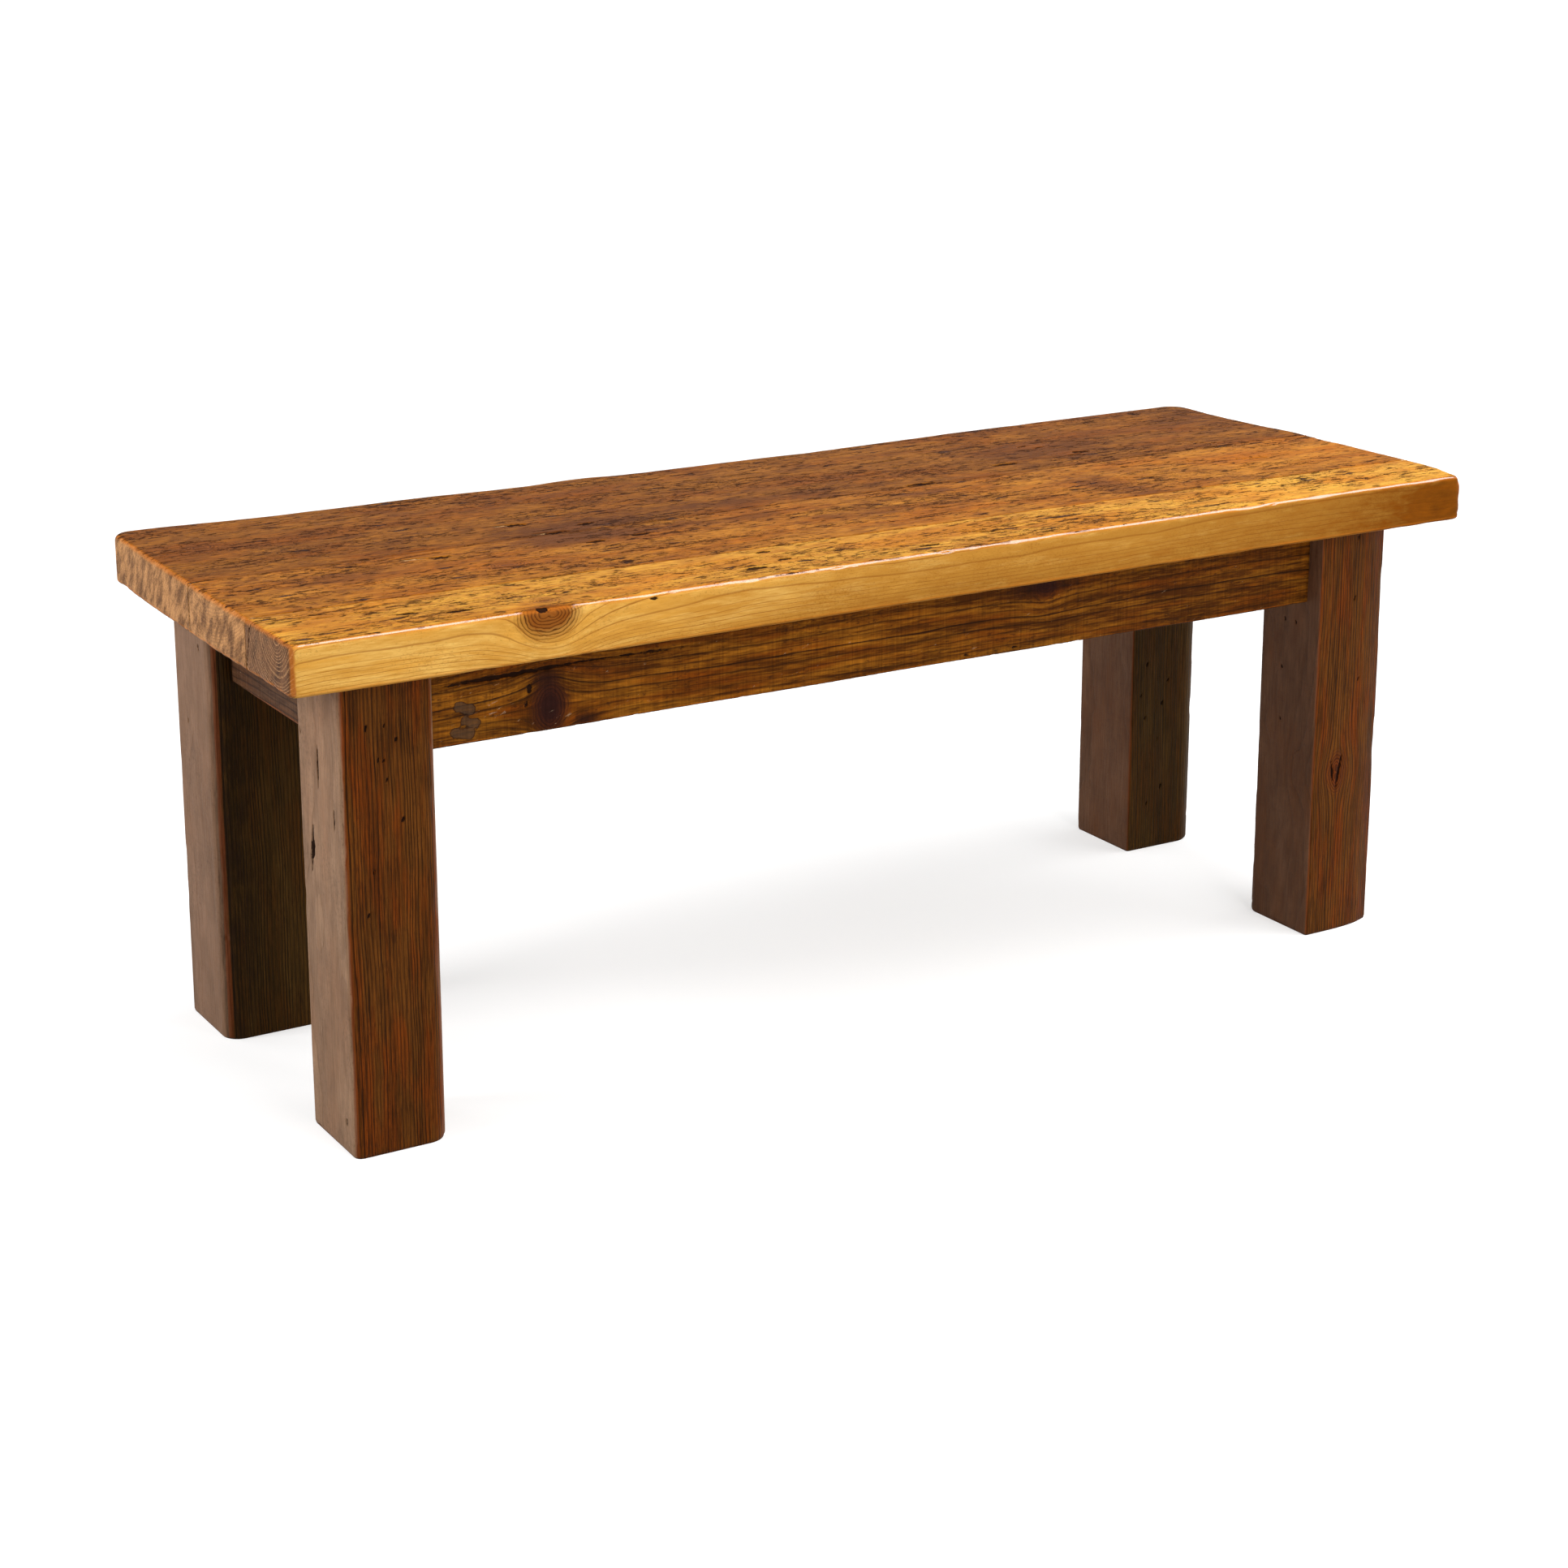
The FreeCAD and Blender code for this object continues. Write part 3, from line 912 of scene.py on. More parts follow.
    def _knotted(self, graph: Graph, colour: Value, still: Value) -> tuple[Value, Value]:
        """Adds the knots and gives back the colour and each place's distance from the nearest one."""
        wobble = self.knot_wobble.swing(graph, still)
        knot = graph.layer("knot") + wobble * 3.0
        halo = graph.step(knot, self.knot_halo, 0.0)
        rings = graph.step(graph.maths("FRACT", (knot + wobble) / self.knot_ring), 0.45, 0.95)
        colour = graph.mix(halo * 0.55, colour, self.knot)
        colour = graph.mix(halo * rings * 0.85, colour, self.knot_line)
        heart_rings = graph.step(graph.maths("FRACT", knot / self.heart_ring), 0.4, 0.95)
        heart = graph.mix(heart_rings * 0.75, self.knot, self.knot_line)
        colour = graph.mix(graph.step(knot, 2.0, -5.0) * 0.9, colour, heart)
        rind = graph.step(abs(knot + 0.4), 1.3, 0.2) * graph.step(wobble, -0.1, 0.15)
        return graph.mix(rind * 0.6, colour, self.knot_line), knot

    def _scuffed(self, graph: Graph, colour: Value, still: Value, stain: Value) -> Value:
        """Adds pale scuffs that lie at a slant to the grain, where the timber has them."""
        if self.scuff is None:
            return colour
        along, across, rise = graph.parts(still)
        lie = graph.vector((along + rise * 0.9) / 14, (rise - along * 0.35) / 3.2, across / 20)
        level = graph.noise(lie, 4.0, 0.65) + graph.step(stain, 0.0, -0.6) * 0.14
        return graph.mix(graph.step(level, 0.67, 0.76) * 0.5, colour, self.scuff)

    def _broken(
        self, graph: Graph, colour: Value, still: Value, on_flat: Value, knot: Value
    ) -> tuple[Value, Value]:
        """Adds what is broken out of the surface, with a painted shadow along the chips' edges.

        Args:
            graph: the material's nodes.
            colour: the timber's colour.
            still: the place along and across the grain.
            on_flat: 1 on the faces that a worn top's cracks cover.
            knot: each place's distance from the nearest knot, where the cracks are fewer.

        Returns:
            The new colour, and how deep the splits and holes are, 0 to 1.
        """
        fray = self.fray.over(graph, still)
        hole = graph.step(graph.layer("slot") + (fray - 0.5) * 1.6, -0.25, 0.45)
        split = hole
        if self.cracks is not None:
            mask = on_flat * (0.4 + 0.6 * graph.step(knot, -4.0, 3.0))
            colour, worn = self.cracks.draw(graph, colour, still, mask, self.stain)
            split = graph.highest(worn, hole)
        chip = graph.layer("chip") + (fray - 0.5) * 1.4
        colour = graph.mix(graph.step(chip, -0.2, 0.4) * (0.55 + fray * 0.5), colour, self.chip)
        # Painted shadow: a dark line in the hole colour along the edges of the chips.
        colour = graph.mix(graph.step(abs(chip), 0.8, 0.15) * 0.7, colour, self.hole)
        return graph.mix(hole * 0.95, colour, self.hole), split

    def _sawn(self, graph: Graph, colour: Value, height: Value, still: Value) -> tuple[Value, Value]:
        """Adds the marks of the saw to a colour and a height, where the timber has them."""
        if self.saw == 0:
            return colour, height
        teeth = self.teeth.over(graph, still)
        darkest, palest = 1 - 0.5 * self.saw, 1 + 0.45 * self.saw
        span = {"Value": teeth, "From Min": 0.3, "From Max": 0.7, "To Min": darkest, "To Max": palest}
        shade = graph.node("ShaderNodeMapRange", {}, span)
        return colour * shade, height + (teeth - 0.5) * self.saw


# Shapes

@dataclass(frozen=True)
class Dents:
    """Rubs or dents along the arrises of a timber.

    size is that of a cell of their noise, and sound the level under which the timber stays whole. They fade
    out at reach from the arris, and are as deep as they get at full from it.
    """

    size: Triple
    sound: float
    depth: float
    reach: float
    full: float = 0.0
    octaves: int = 1

    def cut(self, noise: Grainfield, points: Array, edge: Array) -> Array:
        """How deep they are at each point, given how far it lies from the arris."""
        level = np.maximum(noise.at(points, self.size, self.octaves) - self.sound, 0)
        return level * smooth(edge, self.reach, self.full) * self.depth


def ease(
    skin: Skin, level: float, way: int, radius: float, inset: Array, outward: Array, rim: Array
) -> None:
    """Rounds the arris between a level face and the upright faces that meet it.

    Args:
        skin: the skin, still with a sharp arris.
        level: height of the level face.
        way: 1 if the timber lies above that face, -1 if below.
        radius: radius of the arris.
        inset: how far in from the upright faces each point of the level face lies.
        outward: N by 2 plan directions out of the nearest upright face.
        rim: which points lie on those upright faces.
    """
    height = skin.points[:, 2].copy()
    drop = np.abs(height - level)
    on_level = drop < 1e-6
    near = np.where(on_level, inset < radius, rim & (drop < radius))
    turn = np.where(on_level, 1 - inset / radius, 1 + drop / radius) * math.pi / 4
    back = radius * (1 - np.sin(turn))
    move = np.where(near, np.where(on_level, inset, 0) - back, 0)
    skin.points[:, :2] += outward * move[:, None]
    skin.points[:, 2] = np.where(near, level + way * radius * (1 - np.cos(turn)), height)


@dataclass
class Seat:
    """Three edge-joined boards with a waney rear edge and skewed ends."""

    length: float = 1220.0
    width: float = 442.0
    bottom: float = 414.0
    thickness: float = 44.0
    top_arris: float = 5.5
    bottom_arris: float = 3.0
    corner_radii: dict[tuple[int, int], float] = field(
        default_factory=lambda: {(-1, -1): 8.0, (1, -1): 14.0, (-1, 1): 16.0, (1, 1): 22.0}
    )
    rear_wane: float = 19.0
    left_skew: float = 7.0
    right_skew: float = 21.0
    rear_shares: Sequence[Pair] = (
        (0, 0), (0.05, 0), (0.1, 0.42), (0.265, 0.52), (0.32, 0.8),
        (0.385, 0.46), (0.425, 0.97), (0.64, 1), (0.74, 0.74), (1, 0.64),
    )
    left_shares: Sequence[Pair] = ((0, 0), (0.4, 0), (0.75, 0.48), (1, 1))
    right_shares: Sequence[Pair] = ((0, 0), (0.15, 0), (0.55, 0.3), (0.68, 0.72), (0.84, 0.98), (1, 1))
    turn_reach: float = 0.02
    joint_left: float = 96.0
    joint_right: float = 83.0
    rear_joint: float = 230.0
    joint_groove: float = 0.5
    widest_edge: float = 40.0
    worn_top_corner: float = 14.0
    worn_bottom_corner: float = 9.0
    worn_corner_reach: float = 60.0
    hollow_depth: float = 0.35
    fine_depth: float = 0.12
    rubs: Dents = Dents((38.0, 14.0, 14.0), 0.1, 1.1, 9.0, 1.0, octaves=2)
    dents: Dents = Dents((7.0, 4.0, 4.0), 0.55, 1.6, 7.0)
    columns: int = 420

    @property
    def top(self) -> float:
        """Height of the seat."""
        return self.bottom + self.thickness

    def _share(self, shares: Sequence[Pair], along: Array) -> Array:
        """The edge's share of its wane or skew, with its turns eased."""
        places, amounts = zip(*shares)
        offsets = np.linspace(-self.turn_reach, self.turn_reach, 9)
        return np.mean([np.interp(along + offset, places, amounts) for offset in offsets], axis=0)

    def front_edge(self, x: Array) -> Array:
        """Y of the front edge."""
        return np.full_like(x, -self.width / 2)

    def rear_edge(self, x: Array) -> Array:
        """Y of the waney rear edge."""
        return self.width / 2 - self.rear_wane * self._share(self.rear_shares, x / self.length + 0.5)

    def left_end(self, y: Array) -> Array:
        """X of the left end."""
        return -self.length / 2 + self.left_skew * self._share(self.left_shares, y / self.width + 0.5)

    def right_end(self, y: Array) -> Array:
        """X of the right end."""
        return self.length / 2 - self.right_skew * self._share(self.right_shares, y / self.width + 0.5)

    def front_joint_line(self, x: Array) -> Array:
        """Y of the slanted front joint."""
        along = x / self.length + 0.5
        return -self.width / 2 + self.joint_left + (self.joint_right - self.joint_left) * along

    def rear_joint_line(self, x: Array) -> Array:
        """Y of the rear joint."""
        return np.full_like(x, -self.width / 2 + self.rear_joint)

    def board(
        self, front: Callable[[Array], Array], rear: Callable[[Array], Array], outer: int, rows: int,
        noise: Grainfield,
    ) -> Skin:
        """Skin of one board, worn.

        Args:
            front, rear: the lines of the board's two long edges, y for each x.
            outer: -1 if its front edge is the seat's own, 1 if its rear edge is, 0 if neither.
            rows: how many quads lie across the board.
            noise: noise for the wear.

        Returns:
            The skin, bent to the board's outline, with its "edge" layer.
        """
        across_rows = np.linspace(0, 1, rows + 1)
        if outer:
            eased = stations(1.0, 0.011, 1 / rows, 0.09, 0.0)
            across_rows = eased if outer < 0 else 1 - eased[::-1]
        along_rows = stations(self.length, 1.1, self.length / self.columns, 9, 9) / self.length
        rise = stations(self.thickness, 0.9, 2.4, self.bottom_arris + 0.6, self.top_arris + 1.4)
        skin = Skin(along_rows, across_rows, rise)
        along, across = skin.block[:, 0], skin.block[:, 1]
        flat_x = (along - 0.5) * self.length
        y = front(flat_x) + across * (rear(flat_x) - front(flat_x))
        left, right = self.left_end(y), self.right_end(y)
        x = left + along * (right - left)
        y = front(x) + across * (rear(x) - front(x))
        from_end = np.minimum(x - left, right - x)
        end_way = np.where(x - left < right - x, -1.0, 1.0)
        from_side = {-1: y - front(x), 0: np.full_like(x, 1e3), 1: rear(x) - y}[outer]
        inset = np.minimum(from_end, from_side)
        end_nearer = from_end <= from_side
        outward = np.stack([np.where(end_nearer, end_way, 0), np.where(end_nearer, 0, outer)], axis=1)
        if outer:
            for way in (-1, 1):
                self._round_corner(x, y, outward, end_way == way, (way, outer), from_end, from_side)
        skin.points = np.stack([x, y, self.bottom + skin.block[:, 2]], axis=1)
        rim = inset < 1e-6
        ease(skin, self.top, -1, self.top_arris, inset, outward, rim)
        ease(skin, self.bottom, 1, self.bottom_arris, inset, outward, rim)
        drop = np.minimum(self.top - skin.points[:, 2], skin.points[:, 2] - self.bottom)
        corner = np.where(rim, np.hypot(from_end, from_side) - 1, self.widest_edge)
        skin.layers["edge"] = np.minimum(np.where(rim, np.minimum(drop, corner), inset), self.widest_edge)
        self._groove_joints(skin, across, outer)
        self._weather(skin, noise)
        return skin

    def _round_corner(
        self, x: Array, y: Array, outward: Array, side: Array, corner: tuple[int, int], from_end: Array,
        from_side: Array,
    ) -> None:
        """Rounds one plan corner of the seat in place.

        Args:
            x, y: the plan places, changed here.
            outward: directions out of the nearest edge, changed here.
            side: the points on the corner's half of the board.
            corner: the corner's own way along X and along Y.
            from_end, from_side: how far in from the end and from the long edge each point lies.
        """
        radius = self.corner_radii[corner]
        here = side & (from_end < radius) & (from_side < radius)
        toward = np.stack([radius - from_end, radius - from_side], axis=1)[here]
        long = np.maximum(np.linalg.norm(toward, axis=1), 1e-9)
        pull = toward.max(axis=1) / long - 1
        x[here] += corner[0] * toward[:, 0] * pull
        y[here] += corner[1] * toward[:, 1] * pull
        outward[here] = toward / long[:, None] * np.array(corner)

    def _groove_joints(self, skin: Skin, across: Array, outer: int) -> None:
        """Opens a fine groove along the joints in the top and the underside."""
        rise = skin.block[:, 2]
        for joint, own_edge in ((0, -1), (1, 1)):
            if outer != own_edge:
                skin.points[(across == joint) & (rise > self.thickness - 0.01), 2] -= self.joint_groove
                skin.points[(across == joint) & (rise < 0.01), 2] += self.joint_groove

    def _weather(self, skin: Skin, noise: Grainfield) -> None:
        """Wears a board: slight hollows, rubbed and dented arrises and a rounder front right corner."""
        points, normals = skin.points, skin.normals()
        edge = skin.layers["edge"]
        hollow = noise.at(points, (170.0, 45.0, 60.0), 2) - 0.4
        fine = noise.at(points, (24.0, 5.0, 7.0), 2)
        depth = np.minimum(hollow * self.hollow_depth + fine * self.fine_depth, 0)
        depth -= self.rubs.cut(noise, points, edge) + self.dents.cut(noise, points, edge)
        in_joint = (np.abs(normals[:, 2]) < 0.2) & (np.abs(normals[:, 1]) > 0.8) & (edge > 9)
        skin.push(np.where(in_joint, 0, depth))
        self._wear_corner(skin, self.top, self.worn_top_corner)
        self._wear_corner(skin, self.bottom, self.worn_bottom_corner)

    def _wear_corner(self, skin: Skin, level: float, radius: float) -> None:
        """Rounds the front right corner further, most at the front.

        Args:
            skin: the board's skin.
            level: height of the face that the corner is rounded to.
            radius: radius of the rounding at the front edge.
        """
        x, y, z = skin.points.T
        front = -self.width / 2
        reach = radius * smooth(y, front + self.worn_corner_reach, front + 6.0)
        toward_end = reach - np.maximum(self.right_end(y) - x, 0)
        toward_level = reach - np.abs(z - level)
        here = (toward_end > 0) & (toward_level > 0)
        away = np.maximum(np.hypot(toward_end, toward_level), 1e-9)
        pull = np.where(here, np.maximum(toward_end, toward_level) / away - 1, 0)
        skin.points[:, 0] += toward_end * pull
        skin.points[:, 2] += toward_level * pull * (1 if level == self.top else -1)


@dataclass(frozen=True)
class Leg:
    """One post, with the outline that wear has given it.

    An outline corner is its place as shares of the post's width and depth, and its radius as a share of the
    width, where 0 stands for a bend as wide as its runs allow.
    """

    corner: Pair
    outline: Sequence[Triple]
    width: float = 87.0
    depth: float = 92.0
    height: float = 414.0
    bend_share: float = 0.45
    hollow_depth: float = 0.4
    foot_depth: float = 0.9
    rubs: Dents = Dents((14.0, 14.0, 30.0), 0.15, 1.1, 7.0, octaves=2)
    dents: Dents = Dents((5.0, 5.0, 9.0), 0.6, 2.2, 6.0)
    side_quads: int = 80
    level_quads: int = 210
    bend_steps: int = 17
    rim_steps: int = 4001

    def _rim(self) -> tuple[Array, Array]:
        """The outline as close points, and how far each lies from the nearest worn corner."""
        size = np.array([self.width, self.depth])
        corners = [np.array(self.corner) + size * np.array(place[:2]) for place in self.outline]
        radii = [self.width * place[2] for place in self.outline]
        points: list[Array] = []
        worn: list[bool] = []
        for index, corner in enumerate(corners):
            back = corners[index - 1] - corner
            on = corners[(index + 1) % len(corners)] - corner
            lengths = np.linalg.norm(back), np.linalg.norm(on)
            back, on = back / lengths[0], on / lengths[1]
            half = math.acos(float(np.clip(back @ on, -1, 1))) / 2
            reach = radii[index] / math.tan(half) if radii[index] else self.bend_share * min(lengths)
            radius = reach * math.tan(half)
            inward = (back + on) / np.linalg.norm(back + on)
            centre = corner + inward * radius / math.sin(half)
            start, stop = corner + back * reach - centre, corner + on * reach - centre
            spread = math.atan2(start[0] * stop[1] - start[1] * stop[0], start @ stop)
            for share in np.linspace(0, 1, self.bend_steps):
                turn = share * spread
                spin = np.array([[math.cos(turn), -math.sin(turn)], [math.sin(turn), math.cos(turn)]])
                points.append(centre + spin @ start)
                worn.append(radii[index] > 0 and abs(share - 0.5) < 0.1)
        rim = np.array(points + points[:1])
        steps = np.concatenate([[0], np.cumsum(np.linalg.norm(np.diff(rim, axis=0), axis=1))])
        even = np.linspace(0, steps[-1], self.rim_steps)
        close = np.stack([np.interp(even, steps, rim[:, axis]) for axis in (0, 1)], axis=1)
        marks = steps[:-1][np.array(worn)]
        half_round = steps[-1] / 2
        away = np.abs((even[:, None] - marks + half_round) % steps[-1] - half_round)
        return close, np.min(away, axis=1)

    def build(self, noise: Grainfield) -> Skin:
        """Skin of the post, worn and with its "edge" layer.

        Args:
            noise: noise for the wear.

        Returns:
            The skin.
        """
        row = np.linspace(-1, 1, self.side_quads + 1)
        skin = Skin(row, row, stations(self.height, 1.4, self.height / self.level_quads, 6, 3))
        a, b = skin.block[:, 0], skin.block[:, 1]
        ring = np.maximum(np.abs(a), np.abs(b))
        safe = np.maximum(ring, 1e-9)
        runs = [(a / safe + 1) / 2, 1 + (b / safe + 1) / 2, 2 + (1 - a / safe) / 2]
        side = np.select([b <= -ring, a >= ring, b >= ring], runs, 3 + (1 - b / safe) / 2)
        rim, away = self._rim()
        place = side / 4 * (len(rim) - 1)
        at = np.stack([np.interp(place, np.arange(len(rim)), rim[:, axis]) for axis in (0, 1)], axis=1)
        middle = np.array(self.corner) + np.array([self.width, self.depth]) / 2
        plan = middle + (at - middle) * ring[:, None]
        skin.points = np.column_stack([plan, skin.block[:, 2]])
        from_foot = np.minimum(skin.block[:, 2] * 1.5, self.height - skin.block[:, 2] + 3)
        skin.layers["edge"] = np.minimum(np.interp(place, np.arange(len(rim)), away), from_foot)
        self._wear(skin, ring > 1 - 1e-9, noise)
        return skin

    def _wear(self, skin: Skin, rim: Array, noise: Grainfield) -> None:
        """Wears the post: slight hollows, dents in the arrises and a rubbed foot."""
        points, edge = skin.points, skin.layers["edge"]
        hollow = noise.at(points, (60.0, 60.0, 190.0), 2) - 0.35
        foot = smooth(points[:, 2], 3.0, 0.0) * self.foot_depth
        depth = np.minimum(hollow * self.hollow_depth, 0) - foot
        depth -= self.rubs.cut(noise, points, edge) + self.dents.cut(noise, points, edge)
        skin.push(np.where(rim, depth, 0))
        skin.points[:, 2] = np.clip(skin.points[:, 2], 0, self.height)


@dataclass(frozen=True)
class Apron:
    """One rough-sawn rail between two posts, with eased lower arrises."""

    along: Axis
    run: Pair
    faces: Pair
    bottom: float = 338.0
    top: float = 414.0
    arris: float = 2.0
    step: float = 2.3
    hollow_depth: float = 0.45
    saw_depth: float = 0.14
    dents: Dents = Dents((8.0, 5.0, 5.0), 0.5, 1.6, 5.0)

    def build(self, noise: Grainfield) -> Skin:
        """Skin of the rail, with saw waves in its faces and its "edge" layer.

        Args:
            noise: noise for the wear.

        Returns:
            The skin.
        """
        along, cross = (0, 1) if self.along is Axis.X else (1, 0)
        sides = (self.run, self.faces) if along == 0 else (self.faces, self.run)
        low, high = np.array([*sides, (self.bottom, self.top)]).T
        size = high - low
        margin = self.arris + 0.5
        rows: list[Array] = [np.zeros(0)] * 3
        rows[along] = np.linspace(0, size[along], max(2, round(size[along] / self.step)))
        rows[cross] = stations(size[cross], 0.5, 3.0, margin, margin)
        rows[2] = stations(size[2], 0.5, 1.9, margin, 2.0)
        skin = Skin(*rows)
        skin.points = skin.block + low
        place = skin.block[:, cross]
        inset = np.minimum(place, size[cross] - place)
        outward = np.zeros((len(place), 2))
        outward[:, cross] = np.where(place < size[cross] / 2, -1, 1)
        rim = inset < 1e-6
        ease(skin, self.bottom, 1, self.arris, inset, outward, rim)
        height = skin.points[:, 2] - self.bottom
        skin.layers["edge"] = np.where(rim, height, np.minimum(inset, 20.0))
        wave = (120.0, 60.0, 26.0) if along == 0 else (60.0, 120.0, 26.0)
        teeth = (3.2, 9.0, 60.0) if along == 0 else (9.0, 3.2, 60.0)
        hollow = noise.at(skin.points, wave, 2) - 0.35
        saw = noise.at(skin.points, teeth, 2)
        depth = np.minimum(hollow * self.hollow_depth + saw * self.saw_depth, 0)
        depth -= self.dents.cut(noise, skin.points, skin.layers["edge"])
        skin.push(np.where(rim | (height < 0.5), depth, 0))
        return skin


# Finishes

def cards(*rows: Triple) -> dict[str, Colour]:
    """A tone's colours from colour cards: pale, deep and warm, then line and speck where they are given."""
    return {name: tint(*row) for name, row in zip(("pale", "deep", "warm", "line", "speck"), rows)}


FRONT_FLAT = Tone(
    **cards((208, 153, 58), (150, 91, 28), (192, 122, 34), (122, 68, 18), (104, 56, 20)),
    lines=0.2, streaks=0.75, fibres=0.75, specks=0.55,
    streak_size=(48.0, 20.0), fibre_size=(13.0, 4.5), speck_size=(7.0, 3.4),
)
MIDDLE_FLAT = replace(
    FRONT_FLAT, **cards((181, 117, 38), (109, 60, 16), (163, 92, 18), (96, 49, 10), (80, 42, 16))
)
REAR_FLAT = replace(
    FRONT_FLAT, **cards((151, 93, 29), (88, 47, 13), (133, 71, 14), (80, 40, 8), (70, 38, 16))
)
SEAT_SIDE = Tone(
    **cards((226, 180, 96), (194, 138, 56), (214, 156, 66), (148, 92, 34), (116, 68, 22)),
    lines=1.0, streaks=1.1, fibres=0.6, specks=0.3, late=0.83,
    streak_size=(70.0, 8.0), fibre_size=(14.0, 1.3), speck_size=(2.6, 1.2), warm_size=(80.0, 12.0),
)
REAR_EDGE = replace(
    SEAT_SIDE, **cards((172, 112, 48), (106, 62, 26), (150, 88, 30), (84, 46, 16)), specks=0.6
)
FRONT_END = Tone(
    **cards((124, 86, 58), (66, 45, 32), (190, 142, 96), (74, 50, 36), (50, 34, 28)),
    lines=0.8, streaks=0.9, fibres=1.2,
)
SEAT_END = replace(FRONT_END, **cards((190, 138, 88), (92, 60, 36), (204, 150, 98)), lines=0.3, streaks=1.4)
LEG_FLAT = Tone(
    **cards((106, 61, 19), (56, 29, 6), (120, 55, 10), (26, 12, 3), (36, 18, 7)),
    lines=1.0, streaks=0.6, fibres=1.1, specks=0.4, late=0.5,
    streak_size=(160.0, 14.0), fibre_size=(30.0, 1.3), speck_size=(12.0, 1.6), warm_size=(90.0, 14.0),
)
# Painted sheen: the posts' left and right faces are coloured grey-pink, the veil that a lamp's reflection
# lays on them, while their specular stays low.
LEG_SIDE_PAINTED_SHEEN = Tone(
    **cards((150, 118, 92), (106, 80, 60), (140, 104, 78), (90, 66, 50), (80, 60, 46)),
    lines=0.3, streaks=0.7, fibres=0.6, specks=0.5,
    streak_size=(70.0, 26.0), fibre_size=(26.0, 1.6), speck_size=(4.0, 1.6),
)
FRAME_END = Tone(
    **cards((120, 84, 56), (70, 46, 30), (100, 66, 40), (46, 30, 20)), lines=0.7, streaks=0.8, fibres=0.6
)
# Painted shade: darker copy of the posts' front and back tone, for the rear posts, which stand in shadow
# behind the front posts and under the seat.
SHADE_FLAT = replace(LEG_FLAT, **cards((84, 58, 24), (50, 34, 12), (84, 50, 16), (28, 18, 6)))
# The same painted sheen, a little darker, for the rear left post's side faces.
REAR_LEG_SIDE_PAINTED_SHEEN = replace(LEG_SIDE_PAINTED_SHEEN, **cards((134, 102, 80), (94, 70, 52), (124, 92, 70)))
# Painted sheen with painted shade: darker still, for the side faces of the right posts, which stand in shadow
# under the seat.
LEG_SIDE_PAINTED_SHEEN_AND_SHADE = replace(LEG_SIDE_PAINTED_SHEEN, **cards((118, 84, 62), (84, 58, 42), (108, 70, 46), (66, 44, 30)))
APRON_FLAT = Tone(
    **cards((152, 94, 22), (74, 38, 5), (124, 61, 7), (28, 13, 3), (44, 24, 10)),
    lines=0.95, streaks=1.1, fibres=0.9, specks=0.6, late=0.66,
    fibre_size=(20.0, 1.6), speck_size=(7.0, 3.0), warm_size=(120.0, 16.0),
)
# Painted shade: darker, greyer copy of the apron tone, for the left apron's faces in shadow under the seat.
SHADE_APRON = replace(APRON_FLAT, **cards((90, 62, 42), (56, 36, 24), (78, 48, 28), (32, 20, 14)))

SEAT_WOOD = Timber(
    grain=Axis.X, rings=Rings((-40.0, 560.0), spacing=3.4, wander=3.2, wander_length=330.0),
    flat=MIDDLE_FLAT, side=SEAT_SIDE, end=SEAT_END, arris=Arris(tint(200, 112, 30), 0.5, 4.5),
    coat=Coat(arrises=0.8, rough=0.12, index=1.9), stain=tint(90, 50, 22), knot=tint(132, 72, 22),
    knot_line=tint(58, 28, 10), cracks=Cracks(), specular=0.012,
)
# The posts' side faces take the tone with painted sheen.
LEG_WOOD = Timber(
    grain=Axis.Z, rings=Rings((-980.0, -150.0), spacing=3.2, wander=3.0, wander_length=260.0),
    flat=LEG_FLAT, side=LEG_SIDE_PAINTED_SHEEN, end=FRAME_END, arris=Arris(tint(128, 62, 28), 0.4, 1.5), coat=Coat(),
    stain=tint(34, 20, 14), knot=tint(100, 46, 14), knot_line=tint(44, 20, 8),
    rough=0.5, relief=0.7, saw=0.06,
)
APRON_WOOD = Timber(
    grain=Axis.X, rings=Rings((-170.0, 60.0), spacing=7.4, wander=5.0, wander_length=420.0),
    flat=APRON_FLAT, side=APRON_FLAT, end=FRAME_END, arris=Arris(tint(176, 88, 24), 0.6, 2.4),
    coat=Coat(arrises=0.1), stain=tint(38, 17, 13), knot=tint(74, 34, 18), knot_line=tint(38, 17, 12),
    chip=tint(74, 54, 38), scuff=tint(176, 148, 118), rough=0.55, relief=0.4, saw=0.5,
)


@dataclass(frozen=True)
class Steel:
    """Finish of the button screws: dulled zinc with rubbed spots."""

    bright: Colour = tint(168, 166, 160)
    dull: Colour = tint(104, 102, 100)

    def dress(self, piece: bpy.types.Object) -> None:
        """Gives a piece this finish."""
        graph = Graph.on(piece)
        worn = graph.noise(graph.place() * (0.9, 0.9, 0.9), 3.0, 0.6)
        inputs = {
            "Base Color": graph.mix(graph.step(worn, 0.35, 0.7), self.bright, self.dull),
            "Roughness": worn * 0.4 + 0.2,
            "Metallic": 1.0,
        }
        graph.surface(graph.node("ShaderNodeBsdfPrincipled", {}, inputs))


